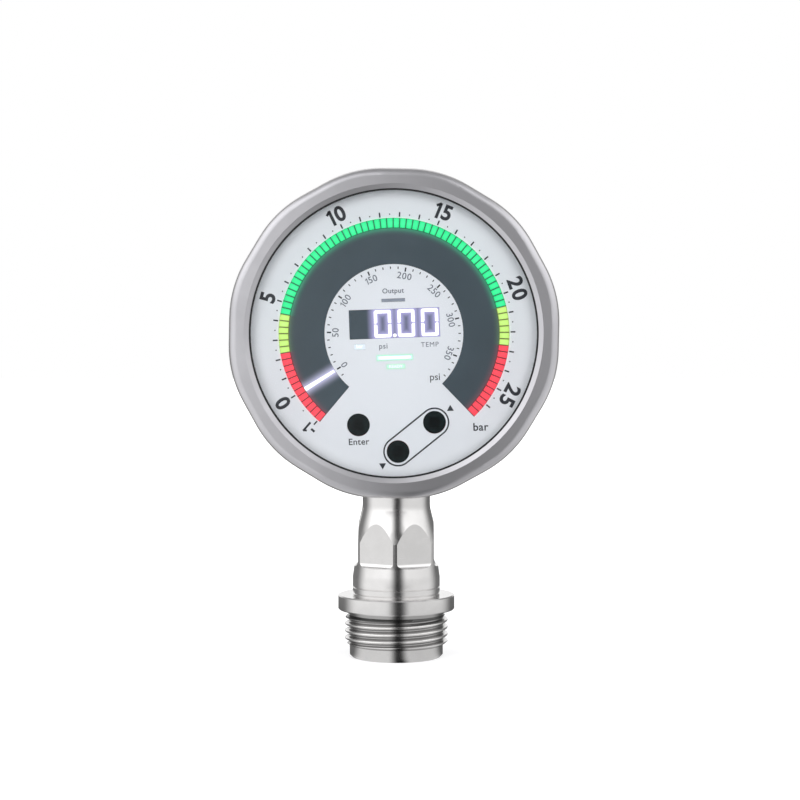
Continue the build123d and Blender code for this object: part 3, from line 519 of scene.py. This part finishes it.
def clearGlass():
    finish = Finish("clearGlass")
    smear = finish.noise(finish.place(), 45.0, 3.0, 0.6)
    rim = finish.add('ShaderNodeFresnel', None, {"IOR": 1.42})
    gloss = finish.add('ShaderNodeBsdfAnisotropic', None, {"Color": (1, 1, 1, 1), "Roughness": 0.02})
    clear = finish.add('ShaderNodeBsdfTransparent', None, {"Color": (1, 1, 1, 1)})
    shader = finish.add('ShaderNodeMixShader', None, {0: rim * finish.ramp(smear, 0.2, 0.8, 0.42, 0.5)})
    node = shader.socket.node
    finish.tree.links.new(clear.socket, node.inputs[1])
    finish.tree.links.new(gloss.socket, node.inputs[2])
    finish.tree.links.new(shader.socket, finish.output.inputs["Surface"])
    return finish.material


touchWindow = {
    "places": ((-12.0, -27.9), (11.6, -27.9), (0.0, -36.6)),
    "halfWidth": 1.7 * mm,
    "halfHeight": 1.9 * mm,
}


def infraredWindow():
    look = touchWindow
    finish = Finish("infraredWindow")
    across, high, radius, angle = dialPlace(finish)
    # A dark sensor shows behind each window
    sensor = 0.0
    for x, y in look["places"]:
        aside = finish.number('ABSOLUTE', across - x * mm)
        above = finish.number('ABSOLUTE', high - y * mm)
        edge = finish.number('MAXIMUM', aside / look["halfWidth"], above / look["halfHeight"])
        sensor = finish.ramp(edge, 0.85, 1.1, 1.0, 0.0) + sensor
    fine = finish.noise(finish.place(), 300.0, 2.0)
    shade = finish.mix(sensor, (0.007, 0.014, 0.015), (0.002, 0.005, 0.006))
    return finish.surface(base_color=shade, roughness=0.16 + fine * 0.05)


def printInk(name, colour):
    finish = Finish(name)
    fine = finish.noise(finish.place(), 2500.0, 3.0, 0.6)
    shade = finish.mix(finish.ramp(fine, 0.3, 0.7), colour, tuple(c * 1.25 for c in colour))
    return finish.surface(base_color=shade, roughness=0.5)


materials = {
    "stem_steel": turnedSteel(),
    "case_steel": satinSteel("satinCase", (0.62, 0.615, 0.62), 0.33),
    "bezel_steel": groundBezel(),
    "fastener_steel": plainSteel("plainSteel", (0.6, 0.6, 0.61), 0.28),
    "contact_gold": plainSteel("goldPlate", (0.86, 0.62, 0.25), 0.22),
    "seal_rubber": mouldedPlastic("sealRubber", (0.012, 0.012, 0.014), 0.55),
    "front_glass": clearGlass(),
    "cell_ceramic": mouldedPlastic("cellCeramic", (0.82, 0.8, 0.74), 0.4, 2500.0, 0.002),
    "bush_plastic": mouldedPlastic("bushPlastic", (0.5, 0.45, 0.34), 0.45),
    "black_plastic": mouldedPlastic("blackPlastic", (0.018, 0.018, 0.02), 0.45),
    "dial_white": printedDial(),
    "smoke_window": smokedWindow(),
    "touch_black": infraredWindow(),
    "display_face": displayFace(),
    "board_green": circuitBoard(),
    "chip_black": mouldedPlastic("chipBlack", (0.02, 0.02, 0.022), 0.5),
    "led_white": mouldedPlastic("lightSource", (0.8, 0.78, 0.7), 0.4),
    "cable_grey": mouldedPlastic("cableSheath", (0.2, 0.2, 0.21), 0.5),
    "lamp_off": mouldedPlastic("unlitGuide", (0.29, 0.325, 0.39), 0.4),
    "light_red": litSegments("litRed", (1.0, 0.075, 0.11), (0.80, 0.05, 0.075)),
    "light_yellow": litSegments("litYellow", (0.54, 0.86, 0.25), (0.43, 0.66, 0.13)),
    "light_green": litSegments("litGreen", (0.07, 0.92, 0.38), (0.006, 0.62, 0.20)),
    "light_white": litGuide("litWhite", (0.97, 0.96, 1.0), 1.0),
    "light_mint": litGuide("litMint", (0.51, 0.91, 0.69), 0.74),
    "ready_bar": readyBar(),
    "unit_glow": litGuide("unitGlow", (0.72, 0.79, 0.86), 0.62),
    "litLetters": litGuide("litLetters", (0.86, 1.0, 0.93), 0.75),
    "frame_glow": lightFrame(),
    "darkInk": printInk("darkInk", (0.022, 0.026, 0.034)),
    "greyInk": printInk("greyInk", (0.13, 0.145, 0.18)),
}

# Every node gets the finish of its slot
ownFinish = {"light_frame": "frame_glow", "ready_lamp": "ready_bar", "unit_lamp": "unit_glow"}
for entry in frame["record"]["subparts"]:
    node = frame["nodes"][entry["node"]]
    key = ownFinish.get(entry["node"], entry["material_slot"])
    node.data.materials.clear()
    node.data.materials.append(materials[key])
print("finishes made:", len(materials))


def alone(piece):
    bpy.ops.object.select_all(action='DESELECT')
    piece.select_set(True)
    bpy.context.view_layer.objects.active = piece


def settle(piece):
    alone(piece)
    bpy.ops.object.transform_apply(location=True, rotation=True, scale=True)


def useModifier(piece, kind, name, **settings):
    alone(piece)
    modifier = piece.modifiers.new(name, kind)
    for key, item in settings.items():
        setattr(modifier, key, item)
    bpy.ops.object.modifier_apply(modifier=modifier.name)


def joined(pieces, name):
    bpy.ops.object.select_all(action='DESELECT')
    for piece in pieces:
        piece.select_set(True)
    bpy.context.view_layer.objects.active = pieces[0]
    if len(pieces) > 1:
        bpy.ops.object.join()
    whole = bpy.context.active_object
    whole.name = name
    whole.data.name = name
    return whole


def finishPiece(piece, body, material):
    piece.data.materials.clear()
    piece.data.materials.append(material)
    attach(piece, body)


# Threads: the solids are plain at the major diameter, so a copy gets its grooves cut
pipeThread = {
    "major": 33.249 * mm,
    "pitch": 2.309 * mm,
    "depth": 1.479 * mm,
    "low": 3.2 * mm,
    "high": 13.7 * mm,
    "phase": 0.65 * mm,
    "steps": 96,
    "pointsPerTurn": 12,
    "cutterWall": 1.5 * mm,     # the ring that cuts it, outside the major diameter
    "cutterMargin": 0.02 * mm,
}

connectorThread = {
    "major": 12.01 * mm,
    "pitch": 1.0 * mm,
    "depth": 0.6 * mm,
    "low": 28.7 * mm,
    "high": 39.6 * mm,
    "phase": 0.0,
    "steps": 64,
    "pointsPerTurn": 8,
    "cutterWall": 1.5 * mm,
    "cutterMargin": 0.02 * mm,
}


# Radius of a rounded thread at a share of its pitch, root at 0 and crest at a half
def threadRadius(thread, share):
    wave = 1 - abs(2 * (share % 1) - 1)
    sharp = (wave - 0.5) * 1.5
    rounded = math.tanh(sharp * 2.2) / math.tanh(1.5 / 2 * 2.2)
    return thread["major"] / 2 - thread["depth"] / 2 + rounded * thread["depth"] / 2


def threadRod(thread):
    bpy.ops.object.select_all(action='DESELECT')
    bpy.ops.mesh.primitive_plane_add(size=mm, location=(0, 0, 0))
    rod = bpy.context.active_object
    bpy.ops.object.mode_set(mode='EDIT')
    bpy.ops.mesh.select_all(action='SELECT')
    bpy.ops.mesh.merge(type='CENTER')
    turns = math.ceil((thread["high"] - thread["low"]) / thread["pitch"]) + 3
    count = turns * thread["pointsPerTurn"]
    start = Vector((threadRadius(thread, 0), 0, thread["low"] - 2 * thread["pitch"] + thread["phase"]))
    bpy.ops.transform.translate(value=start)
    last = start
    for k in range(1, count + 1):
        share = k / thread["pointsPerTurn"]
        point = Vector((threadRadius(thread, share), 0, start.z + share * thread["pitch"]))
        bpy.ops.mesh.extrude_region_move(TRANSFORM_OT_translate={"value": point - last})
        last = point
    bpy.ops.object.mode_set(mode='OBJECT')
    useModifier(rod, 'SCREW', "Turn", angle=2 * math.pi, screw_offset=thread["pitch"],
                steps=thread["steps"], render_steps=thread["steps"], use_merge_vertices=False)
    bpy.ops.object.mode_set(mode='EDIT')
    bpy.ops.mesh.select_all(action='SELECT')
    bpy.ops.mesh.remove_doubles(threshold=0.002 * mm)
    for height, outer in ((thread["low"], False), (thread["high"], True)):
        bpy.ops.mesh.select_all(action='SELECT')
        bpy.ops.mesh.bisect(plane_co=(0, 0, height), plane_no=(0, 0, 1), use_fill=True,
                            clear_inner=not outer, clear_outer=outer, threshold=weld)
    bpy.ops.mesh.select_all(action='SELECT')
    bpy.ops.mesh.normals_make_consistent(inside=False)
    bpy.ops.object.mode_set(mode='OBJECT')
    return rod


# Ring whose bore is the thread: what is left outside the thread, to be cut away
def threadCutter(thread):
    rod = threadRod(thread)
    radius = thread["major"] / 2 + thread["cutterWall"]
    depth = thread["high"] - thread["low"] - 2 * thread["cutterMargin"]
    middle = (thread["high"] + thread["low"]) / 2
    bpy.ops.object.select_all(action='DESELECT')
    bpy.ops.mesh.primitive_cylinder_add(vertices=thread["steps"], radius=radius, depth=depth,
                                        location=(0, 0, middle))
    cutter = bpy.context.active_object
    settle(cutter)
    useModifier(cutter, 'BOOLEAN', "Bore", operation='DIFFERENCE', solver='EXACT', object=rod)
    bpy.data.objects.remove(rod)
    bpy.ops.object.shade_smooth()
    return cutter


def nodeCopy(node, name):
    source = frame["nodes"][node]
    alone(source)
    bpy.ops.object.duplicate()
    copy = bpy.context.active_object
    copy.parent = None
    copy.name = name
    copy.data.name = name
    bpy.ops.mesh.customdata_custom_splitnormals_clear()
    bpy.ops.object.mode_set(mode='EDIT')
    bpy.ops.mesh.select_all(action='SELECT')
    bpy.ops.mesh.remove_doubles(threshold=weld)
    bpy.ops.object.mode_set(mode='OBJECT')
    bpy.ops.object.shade_smooth_by_angle(angle=math.radians(11))
    return copy


def threadedCopy(node, name, thread, place):
    piece = nodeCopy(node, name)
    cutter = threadCutter(thread)
    cutter.matrix_world = place
    settle(cutter)
    useModifier(piece, 'BOOLEAN', "Thread", operation='DIFFERENCE', solver='EXACT', object=cutter)
    bpy.data.objects.remove(cutter)
    return piece


stem = threadedCopy("process_connection", "threaded_stem", pipeThread, Matrix.Identity(4))
finishPiece(stem, "process", materials["stem_steel"])
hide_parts("process_connection")

# The connector's thread runs along +Y from its flange to its mouth
connectorLow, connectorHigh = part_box("connector_shell")
connectorAxis = (connectorLow.z + connectorHigh.z) / 2
alongBack = Matrix.Translation((0, 0, connectorAxis)) @ Matrix.Rotation(math.radians(-90), 4, 'X')
connector = threadedCopy("connector_shell", "threaded_connector", connectorThread, alongBack)
finishPiece(connector, "case", materials["fastener_steel"])
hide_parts("connector_shell")
print("threads cut:", len(stem.data.polygons), "and", len(connector.data.polygons), "faces")


# Print on the dial
ink = {
    "rise": 0.02 * mm,      # stands this far proud of the dial's face
    "thickness": 0.03 * mm,
    "capShare": 0.70,       # height of a capital for a text size of 1
}


# Turns a flat piece drawn in X and Y onto the dial, at an upright angle's turn
def ontoDial(piece, x, y, turn=0.0):
    lean = Matrix.Rotation(math.radians(90), 4, 'X')
    spin = Matrix.Rotation(math.radians(turn), 4, 'Z')
    shift = Matrix.Translation((x, y, 0))
    head = Matrix.Rotation(math.radians(-dial["turn"]), 4, 'Y')
    place = Matrix.Translation((0, dialFace - ink["rise"], dialCentre.z))
    piece.matrix_world = place @ head @ lean @ shift @ spin
    settle(piece)


def onCircle(radius, angle):
    return radius * math.cos(math.radians(angle)), radius * math.sin(math.radians(angle))


def word(text, height, weight=0.0, spacing=1.0):
    bpy.ops.object.select_all(action='DESELECT')
    bpy.ops.object.text_add(location=(0, 0, 0))
    piece = bpy.context.active_object
    piece.data.body = text
    piece.data.size = height / ink["capShare"]
    piece.data.align_x = 'CENTER'
    piece.data.align_y = 'CENTER'
    piece.data.space_character = spacing
    piece.data.offset = weight
    piece.data.extrude = ink["thickness"] / 2
    piece.data.resolution_u = 4
    bpy.ops.object.convert(target='MESH')
    return bpy.context.active_object


# Moves a piece so that its ink starts at an X, and gives its width
def startAt(piece, x):
    low = min(vertex.co.x for vertex in piece.data.vertices)
    high = max(vertex.co.x for vertex in piece.data.vertices)
    piece.location.x = x - low
    settle(piece)
    return high - low


digitShape = {
    "strokeShare": 0.118,   # of the height, before the weight is added
    "flagLength": 0.36,
    "flagStroke": 0.85,     # of the upright's width
    "flagTurn": 38,
    "flagAside": 0.12,
    "flagDrop": 0.15,
    "gapShare": 0.15,
}


# The built-in font's 1 has no flag, so it is made of two bars
def flaggedOne(height, weight):
    look = digitShape
    stroke = look["strokeShare"] * height + 2 * weight
    stem = bar(stroke, height + 2 * weight)
    flag = bar(look["flagLength"] * height, stroke * look["flagStroke"])
    flag.rotation_euler.z = math.radians(look["flagTurn"])
    flag.location = (-look["flagAside"] * height, height / 2 + weight - look["flagDrop"] * height, 0)
    settle(flag)
    return joined([stem, flag], "one")


def number(text, height, weight):
    glyphs = []
    x = 0
    for char in text:
        glyph = flaggedOne(height, weight) if char == "1" else word(char, height, weight)
        x += startAt(glyph, x) + digitShape["gapShare"] * height
        glyphs.append(glyph)
    whole = joined(glyphs, "number")
    startAt(whole, -(x - digitShape["gapShare"] * height) / 2)
    return whole


def bar(width, height):
    bpy.ops.object.select_all(action='DESELECT')
    bpy.ops.mesh.primitive_cube_add(size=1)
    piece = bpy.context.active_object
    piece.scale = (width, height, ink["thickness"])
    settle(piece)
    return piece


def disc(radius, sides):
    bpy.ops.object.select_all(action='DESELECT')
    bpy.ops.mesh.primitive_cylinder_add(vertices=sides, radius=radius, depth=ink["thickness"])
    return bpy.context.active_object


barScale = {
    "tickFrom": 36.1 * mm,
    "tickTo": 37.6 * mm,
    "tickWidth": 0.45 * mm,
    "dotRadius": 0.21 * mm,
    "dotCircle": 36.9 * mm,
    "numberCircle": 40.4 * mm,
    "numberHeight": 4.55 * mm,
    "numberWeight": 0.20 * mm,
    "minusCircle": 39.5 * mm,
    "minusHeight": 3.2 * mm,
    "minusWeight": 0.14 * mm,
    "numberEvery": 5,
}


def barAngle(value):
    if value < 0:
        return dial["barZero"] + (dial["barMinusOne"] - dial["barZero"]) * -value
    return dial["barZero"] - dial["barStep"] * value


def makeBarScale():
    look = barScale
    marks = []
    for value in range(-1, dial["barTop"] + 1):
        angle = barAngle(value)
        tick = bar(look["tickTo"] - look["tickFrom"], look["tickWidth"])
        ontoDial(tick, *onCircle((look["tickFrom"] + look["tickTo"]) / 2, angle), angle)
        marks.append(tick)
        if value < dial["barTop"]:
            dot = disc(look["dotRadius"], 16)
            ontoDial(dot, *onCircle(look["dotCircle"], barAngle(value + 0.5)))
            marks.append(dot)
    for value in range(0, dial["barTop"], look["numberEvery"]):
        label = number(str(value), look["numberHeight"], look["numberWeight"])
        angle = barAngle(value)
        ontoDial(label, *onCircle(look["numberCircle"], angle), angle - 90)
        marks.append(label)
    minus = number("-1", look["minusHeight"], look["minusWeight"])
    ontoDial(minus, *onCircle(look["minusCircle"], barAngle(-1)), barAngle(-1) - 90)
    marks.append(minus)
    return joined(marks, "bar_scale_print")


psiScale = {
    "longFrom": 19.45 * mm,
    "shortFrom": 20.0 * mm,
    "tickTo": 20.75 * mm,
    "longWidth": 0.46 * mm,
    "shortWidth": 0.31 * mm,
    "numberCircle": 18.0 * mm,
    "numberHeight": 2.0 * mm,
    "numberWeight": 0.02 * mm,
    "first": -10,
    "last": 380,
    "step": 10,
    "longEvery": 50,
}


def makePsiScale():
    look = psiScale
    marks = []
    numbers = []
    for value in range(look["first"], look["last"] + 1, look["step"]):
        angle = dial["barZero"] - dial["psiStep"] * value
        isLong = value % look["longEvery"] == 0
        start = look["longFrom"] if isLong else look["shortFrom"]
        tick = bar(look["tickTo"] - start, look["longWidth"] if isLong else look["shortWidth"])
        ontoDial(tick, *onCircle((start + look["tickTo"]) / 2, angle), angle)
        marks.append(tick)
        if isLong:
            label = number(str(value), look["numberHeight"], look["numberWeight"])
            ontoDial(label, *onCircle(look["numberCircle"], angle), angle - 90)
            numbers.append(label)
    return joined(marks, "psi_scale_print"), joined(numbers, "psi_numbers_print")


labels = {
    "greyInk": [
        ("Output", 0.2, 13.2, 1.5, 0.03, 1.06),
        ("psi", -3.4, -3.8, 1.65, 0.015, 1.08),
        ("TEMP", 11.0, -3.8, 1.5, 0.0, 1.12),
    ],
    "darkInk": [
        ("psi", 12.25, -13.9, 2.2, 0.0, 0.98),
        ("bar", 25.8, -29.9, 2.4, 0.05, 1.06),
        ("Enter", -12.1, -33.2, 1.95, 0.03, 1.06),
    ],
}


def makeLabels(key):
    words = []
    for text, x, y, height, weight, spacing in labels[key]:
        label = word(text, height * mm, weight * mm, spacing)
        ontoDial(label, x * mm, y * mm)
        words.append(label)
    return words


touchFields = {
    "up": (11.6, -27.9),
    "down": (0.0, -36.6),
    "lineRadius": 4.6 * mm,
    "lineWidth": 0.47 * mm,
    "arrowSize": 1.25 * mm,
    "upArrow": (16.65, -23.9),
    "downArrow": (-4.95, -40.7),
    "arcSides": 64,
}


# Line round the two fields: a disc stretched into a slot, of which only the rim stays
def makeFieldLine():
    look = touchFields
    up, down = Vector(look["up"]), Vector(look["down"])
    middle = (up + down) / 2
    length = (up - down).length * mm
    tilt = math.degrees(math.atan2(up.y - down.y, up.x - down.x))
    bpy.ops.object.select_all(action='DESELECT')
    bpy.ops.mesh.primitive_circle_add(vertices=look["arcSides"], radius=look["lineRadius"],
                                      fill_type='NGON')
    line = bpy.context.active_object
    bpy.ops.object.mode_set(mode='EDIT')
    bpy.ops.mesh.select_all(action='SELECT')
    bpy.ops.mesh.bisect(plane_co=(0, 0, 0), plane_no=(1, 0, 0), threshold=weld)
    for side in (1, -1):
        bpy.ops.mesh.select_all(action='DESELECT')
        bpy.ops.object.mode_set(mode='OBJECT')
        for vertex in line.data.vertices:
            vertex.select = vertex.co.x * side > 0.001 * mm
        bpy.ops.object.mode_set(mode='EDIT')
        bpy.ops.transform.translate(value=(side * length / 2, 0, 0))
    bpy.ops.mesh.select_all(action='SELECT')
    bpy.ops.mesh.dissolve_limited(angle_limit=math.radians(1))
    bpy.ops.mesh.inset(thickness=look["lineWidth"])
    bpy.ops.mesh.delete(type='FACE')
    bpy.ops.mesh.select_all(action='SELECT')
    bpy.ops.mesh.extrude_region_move(TRANSFORM_OT_translate={"value": (0, 0, ink["thickness"])})
    bpy.ops.mesh.select_all(action='SELECT')
    bpy.ops.mesh.normals_make_consistent(inside=False)
    bpy.ops.object.mode_set(mode='OBJECT')
    ontoDial(line, middle.x * mm, middle.y * mm, tilt)
    return line


def makeArrows():
    arrows = []
    for place, turn in ((touchFields["upArrow"], 0), (touchFields["downArrow"], 180)):
        arrow = disc(touchFields["arrowSize"], 3)
        ontoDial(arrow, place[0] * mm, place[1] * mm, turn)
        arrows.append(arrow)
    return arrows


litWords = [("READY", 0.25, -10.2, 0.95, 0.03), ("bar", -10.75, -3.6, 1.15, 0.03)]


def makeLitWords():
    words = []
    for text, x, y, height, weight in litWords:
        label = word(text, height * mm, weight * mm)
        ontoDial(label, x * mm, y * mm)
        words.append(label)
    return joined(words, "lit_words_print")


litPrint = makeLitWords()
finishPiece(litPrint, "dial_head", materials["litLetters"])
barPrint = makeBarScale()
psiPrint, psiNumbers = makePsiScale()
greyLabels = joined([psiNumbers] + makeLabels("greyInk"), "grey_labels_print")
darkLabels = joined(makeLabels("darkInk") + [makeFieldLine()] + makeArrows(), "dark_labels_print")
for piece, key in ((barPrint, "darkInk"), (psiPrint, "darkInk"), (greyLabels, "greyInk"),
                   (darkLabels, "darkInk")):
    finishPiece(piece, "dial_head", materials[key])
print("dial printed")


# What polished metal sees round it: softboxes to the front and sides, with soft dark gaps between
studio = {
    "world": 0.7,           # light on matt surfaces from all round
    "gapTurn": 4.5,         # middle of the front gap, degrees to the camera's right
    "gapHalf": 3.0,         # its darkest part, either side
    "gapEdge": 24.0,        # where it has faded out
    "gapShade": 0.03,
    "left": 1.04,           # strength of the softboxes
    "right": 0.87,
    "sidesMeet": (-30.0, 40.0),
    "sideFrom": 88.0,       # they fade out towards the back
    "sideTo": 132.0,
    "sideShade": 0.2,
    "topFrom": 48.0,        # elevation from which a panel overhead closes the gap
    "topTo": 62.0,
    "topShade": 0.38,
    "upperGain": 0.6,       # the softboxes are brighter above the horizon
    "upperFull": 30.0,      # elevation where they are brightest
    "backFrom": 150.0,      # bright wall behind, above the floor
    "backTo": 160.0,
    "reach": 0.9,           # lamps: metres from the stem's axis
    "high": 0.9,
    "lamps": [              # name, first and last azimuth from the camera in degrees, radiance
        ("leftInner", -48, -15, 1.15),
        ("leftMiddle", -72, -48, 0.88),
        ("leftOuter", -128, -72, 1.05),
        ("rightInner", 15, 48, 1.12),
        ("rightMiddle", 48, 72, 0.82),
        ("rightOuter", 72, 128, 1.0),
    ],
    "panels": [             # name, place, size, radiance, aim
        ("above", (0, -0.3, 1.0), (0.9, 0.7), 1.0, (0, 0, 0.1)),
        ("frontTop", (0, -0.8, 0.62), (0.7, 0.35), 1.0, (0, 0, 0.1)),
        ("behind", (0, 1.0, 0.45), (0.75, 0.9), 0.95, (0, 0, 0.45)),
    ],
}


# Brightness of the studio towards a level direction
def studioGlow(finish, x, y, widen=1.0):
    look = studio
    turn = math.radians(view["azimuth"] + look["gapTurn"])
    toCamera = x * math.sin(turn) - y * math.cos(turn)
    aside = x * math.cos(turn) + y * math.sin(turn)
    signed = finish.number('ARCTAN2', aside, toCamera) * (180 / math.pi) * widen
    azimuth = finish.number('ABSOLUTE', signed)
    level = finish.ramp(signed, *look["sidesMeet"], look["left"], look["right"])
    gap = finish.ramp(azimuth, look["gapHalf"], look["gapEdge"], look["gapShade"], 1.0)
    side = finish.ramp(azimuth, look["sideFrom"], look["sideTo"], 1.0, look["sideShade"])
    return level * gap * side, azimuth


floorLook = {
    "colour": (0.55, 0.55, 0.56),
    "nearLift": 0.55,       # own light for the camera, by distance
    "farLift": 1.0,
    "near": 0.12,
    "far": 0.6,
    "headShadowShare": 0.72,      # painted shadow of the head: share of the studio's brightness that metal sees in it, near
    "inFront": 1.04,        # in front
    "farOff": 0.95,         # and far off
    "headEdge": (0.10, 0.20),       # distances between which these change
    "frontEdge": (0.25, 0.50),
    "stemHalf": 5.0 * mm,
    "patch": 0.36,          # distance of a painted shadow of the head in front, which the bezel's lower half sees
    "patchEdge": (0.06, 0.13),
    "patchTurn": (24.0, 42.0),
    "paintedShadowLevel": 0.5,
}


def makeFloor():
    look = floorLook
    bpy.ops.object.select_all(action='DESELECT')
    bpy.ops.mesh.primitive_plane_add(size=8, location=(0, 0, 0))
    floor = bpy.context.active_object
    floor.name = "floor"
    finish = Finish("paleFloor")
    tree = finish.tree
    path = tree.nodes.new('ShaderNodeLightPath')
    x, y, z = finish.split(finish.place())
    distance = (x * x + y * y) ** 0.5
    matt = finish.add('ShaderNodeBsdfDiffuse', None, {"Color": look["colour"] + (1,)})
    lift = finish.ramp(distance, look["near"], look["far"], look["nearLift"], look["farLift"])
    lift = lift * Value(path.outputs["Is Camera Ray"])
    glow = finish.add('ShaderNodeEmission', None, {"Color": (1, 1, 1, 1), "Strength": lift})
    both = tree.nodes.new('ShaderNodeAddShader')
    tree.links.new(matt.socket, both.inputs[0])
    tree.links.new(glow.socket, both.inputs[1])
    # Polished metal sees a white floor with the studio's dark gaps, which spread from the stem's surface
    shown, azimuth = studioGlow(finish, x, y, distance / (distance - look["stemHalf"]))
    # Painted shadow of the head on the floor near the stem, seen in the metal's reflections
    shown = shown * finish.ramp(distance, *look["headEdge"], look["headShadowShare"], look["inFront"])
    shown = shown * finish.ramp(distance, *look["frontEdge"], 1.0, look["farOff"] / look["inFront"])
    # Painted shadow: a darker patch of floor in front, seen in the metal's reflections
    off = finish.number('ABSOLUTE', distance - look["patch"])
    patch = finish.ramp(off, *look["patchEdge"], 1.0, 0.0)
    patch = patch * finish.ramp(azimuth, *look["patchTurn"], 1.0, 0.0)
    shown = shown * (1 - patch * (1 - look["paintedShadowLevel"]))
    mirror = finish.add('ShaderNodeEmission', None, {"Color": (1, 1, 1, 1), "Strength": shown})
    pick = tree.nodes.new('ShaderNodeMixShader')
    tree.links.new(path.outputs["Is Glossy Ray"], pick.inputs[0])
    tree.links.new(both.outputs[0], pick.inputs[1])
    tree.links.new(mirror.socket, pick.inputs[2])
    tree.links.new(pick.outputs[0], finish.output.inputs["Surface"])
    floor.data.materials.append(finish.material)


def softbox(name, middle, size, radiance, target):
    lamp = bpy.data.lights.new(name, 'AREA')
    lamp.shape = 'RECTANGLE'
    lamp.size, lamp.size_y = size
    lamp.energy = radiance * math.pi * size[0] * size[1]
    holder = bpy.data.objects.new(name, lamp)
    bpy.context.scene.collection.objects.link(holder)
    holder.location = middle
    holder.rotation_euler = (target - middle).to_track_quat('-Z', 'Y').to_euler()
    holder.visible_camera = False
    holder.visible_glossy = False   # metal sees the softer shape that the world gives


# The world: plain light on matt surfaces, the studio for metal, white for the camera
def makeWorld():
    look = studio
    world = bpy.data.worlds.new("studio")
    bpy.context.scene.world = world
    finish = Finish(world, 'ShaderNodeOutputWorld')
    path = finish.tree.nodes.new('ShaderNodeLightPath')
    x, y, z = finish.split(finish.add('ShaderNodeTexCoord', take=0))
    glow, azimuth = studioGlow(finish, x, y)
    level = (x * x + y * y) ** 0.5
    elevation = finish.number('ARCTAN2', z, level) * (180 / math.pi)
    top = finish.ramp(elevation, look["topFrom"], look["topTo"])
    back = finish.ramp(azimuth, look["backFrom"], look["backTo"])
    glow = glow * finish.ramp(elevation, 0.0, look["upperFull"], 1.0, 1.0 + look["upperGain"])
    glow = glow * (1 - back) + back
    glow = glow * (1 - top) + top * look["topShade"]
    lights = [finish.add('ShaderNodeBackground', None, {"Color": (1, 1, 1, 1), "Strength": strength})
              for strength in (look["world"], glow, 1.0)]
    shown = lights[0].socket
    for ray, light in (("Is Glossy Ray", lights[1]), ("Is Camera Ray", lights[2])):
        pick = finish.tree.nodes.new('ShaderNodeMixShader')
        finish.tree.links.new(path.outputs[ray], pick.inputs[0])
        finish.tree.links.new(shown, pick.inputs[1])
        finish.tree.links.new(light.socket, pick.inputs[2])
        shown = pick.outputs[0]
    finish.tree.links.new(shown, finish.output.inputs["Surface"])


def makeLamps():
    height = studio["high"] / 2
    for name, first, last, radiance in studio["lamps"]:
        ends = [Vector((math.sin(math.radians(a)), -math.cos(math.radians(a)), 0)) * studio["reach"]
                for a in (first + view["azimuth"], last + view["azimuth"])]
        middle = (ends[0] + ends[1]) / 2 + Vector((0, 0, height))
        size = ((ends[1] - ends[0]).length, studio["high"])
        softbox(name, middle, size, radiance, Vector((0, 0, height)))
    for name, place, size, radiance, aim in studio["panels"]:
        softbox(name, Vector(place), size, radiance, Vector(aim))


# The view: level with the dial, a little to its right
view = {
    "distance": 0.651,
    "azimuth": 1.6,         # degrees
    "height": 0.1043,
    "aimAside": 0.0012,     # the stem stands a little left of the image's middle
    "aimHeight": 0.0829,
    "focalPixels": 2020,
    "imagePixels": 800,
    "sensor": 36.0,
}


def makeCamera():
    data = bpy.data.cameras.new("camera")
    camera = bpy.data.objects.new("camera", data)
    bpy.context.scene.collection.objects.link(camera)
    data.sensor_width = view["sensor"]
    data.lens = view["focalPixels"] / view["imagePixels"] * view["sensor"]
    side = math.radians(view["azimuth"])
    right = Vector((math.cos(side), math.sin(side), 0))
    camera.location = Vector((math.sin(side), -math.cos(side), 0)) * view["distance"]
    camera.location += right * view["aimAside"] + Vector((0, 0, view["height"]))
    aim = right * view["aimAside"] + Vector((0, 0, view["aimHeight"]))
    camera.rotation_euler = (aim - camera.location).to_track_quat('-Z', 'Y').to_euler()
    data.clip_start = 0.01
    bpy.context.scene.camera = camera


makeFloor()
makeCamera()
makeWorld()
makeLamps()
bpy.context.scene.view_settings.view_transform = 'Standard'
print("studio set")
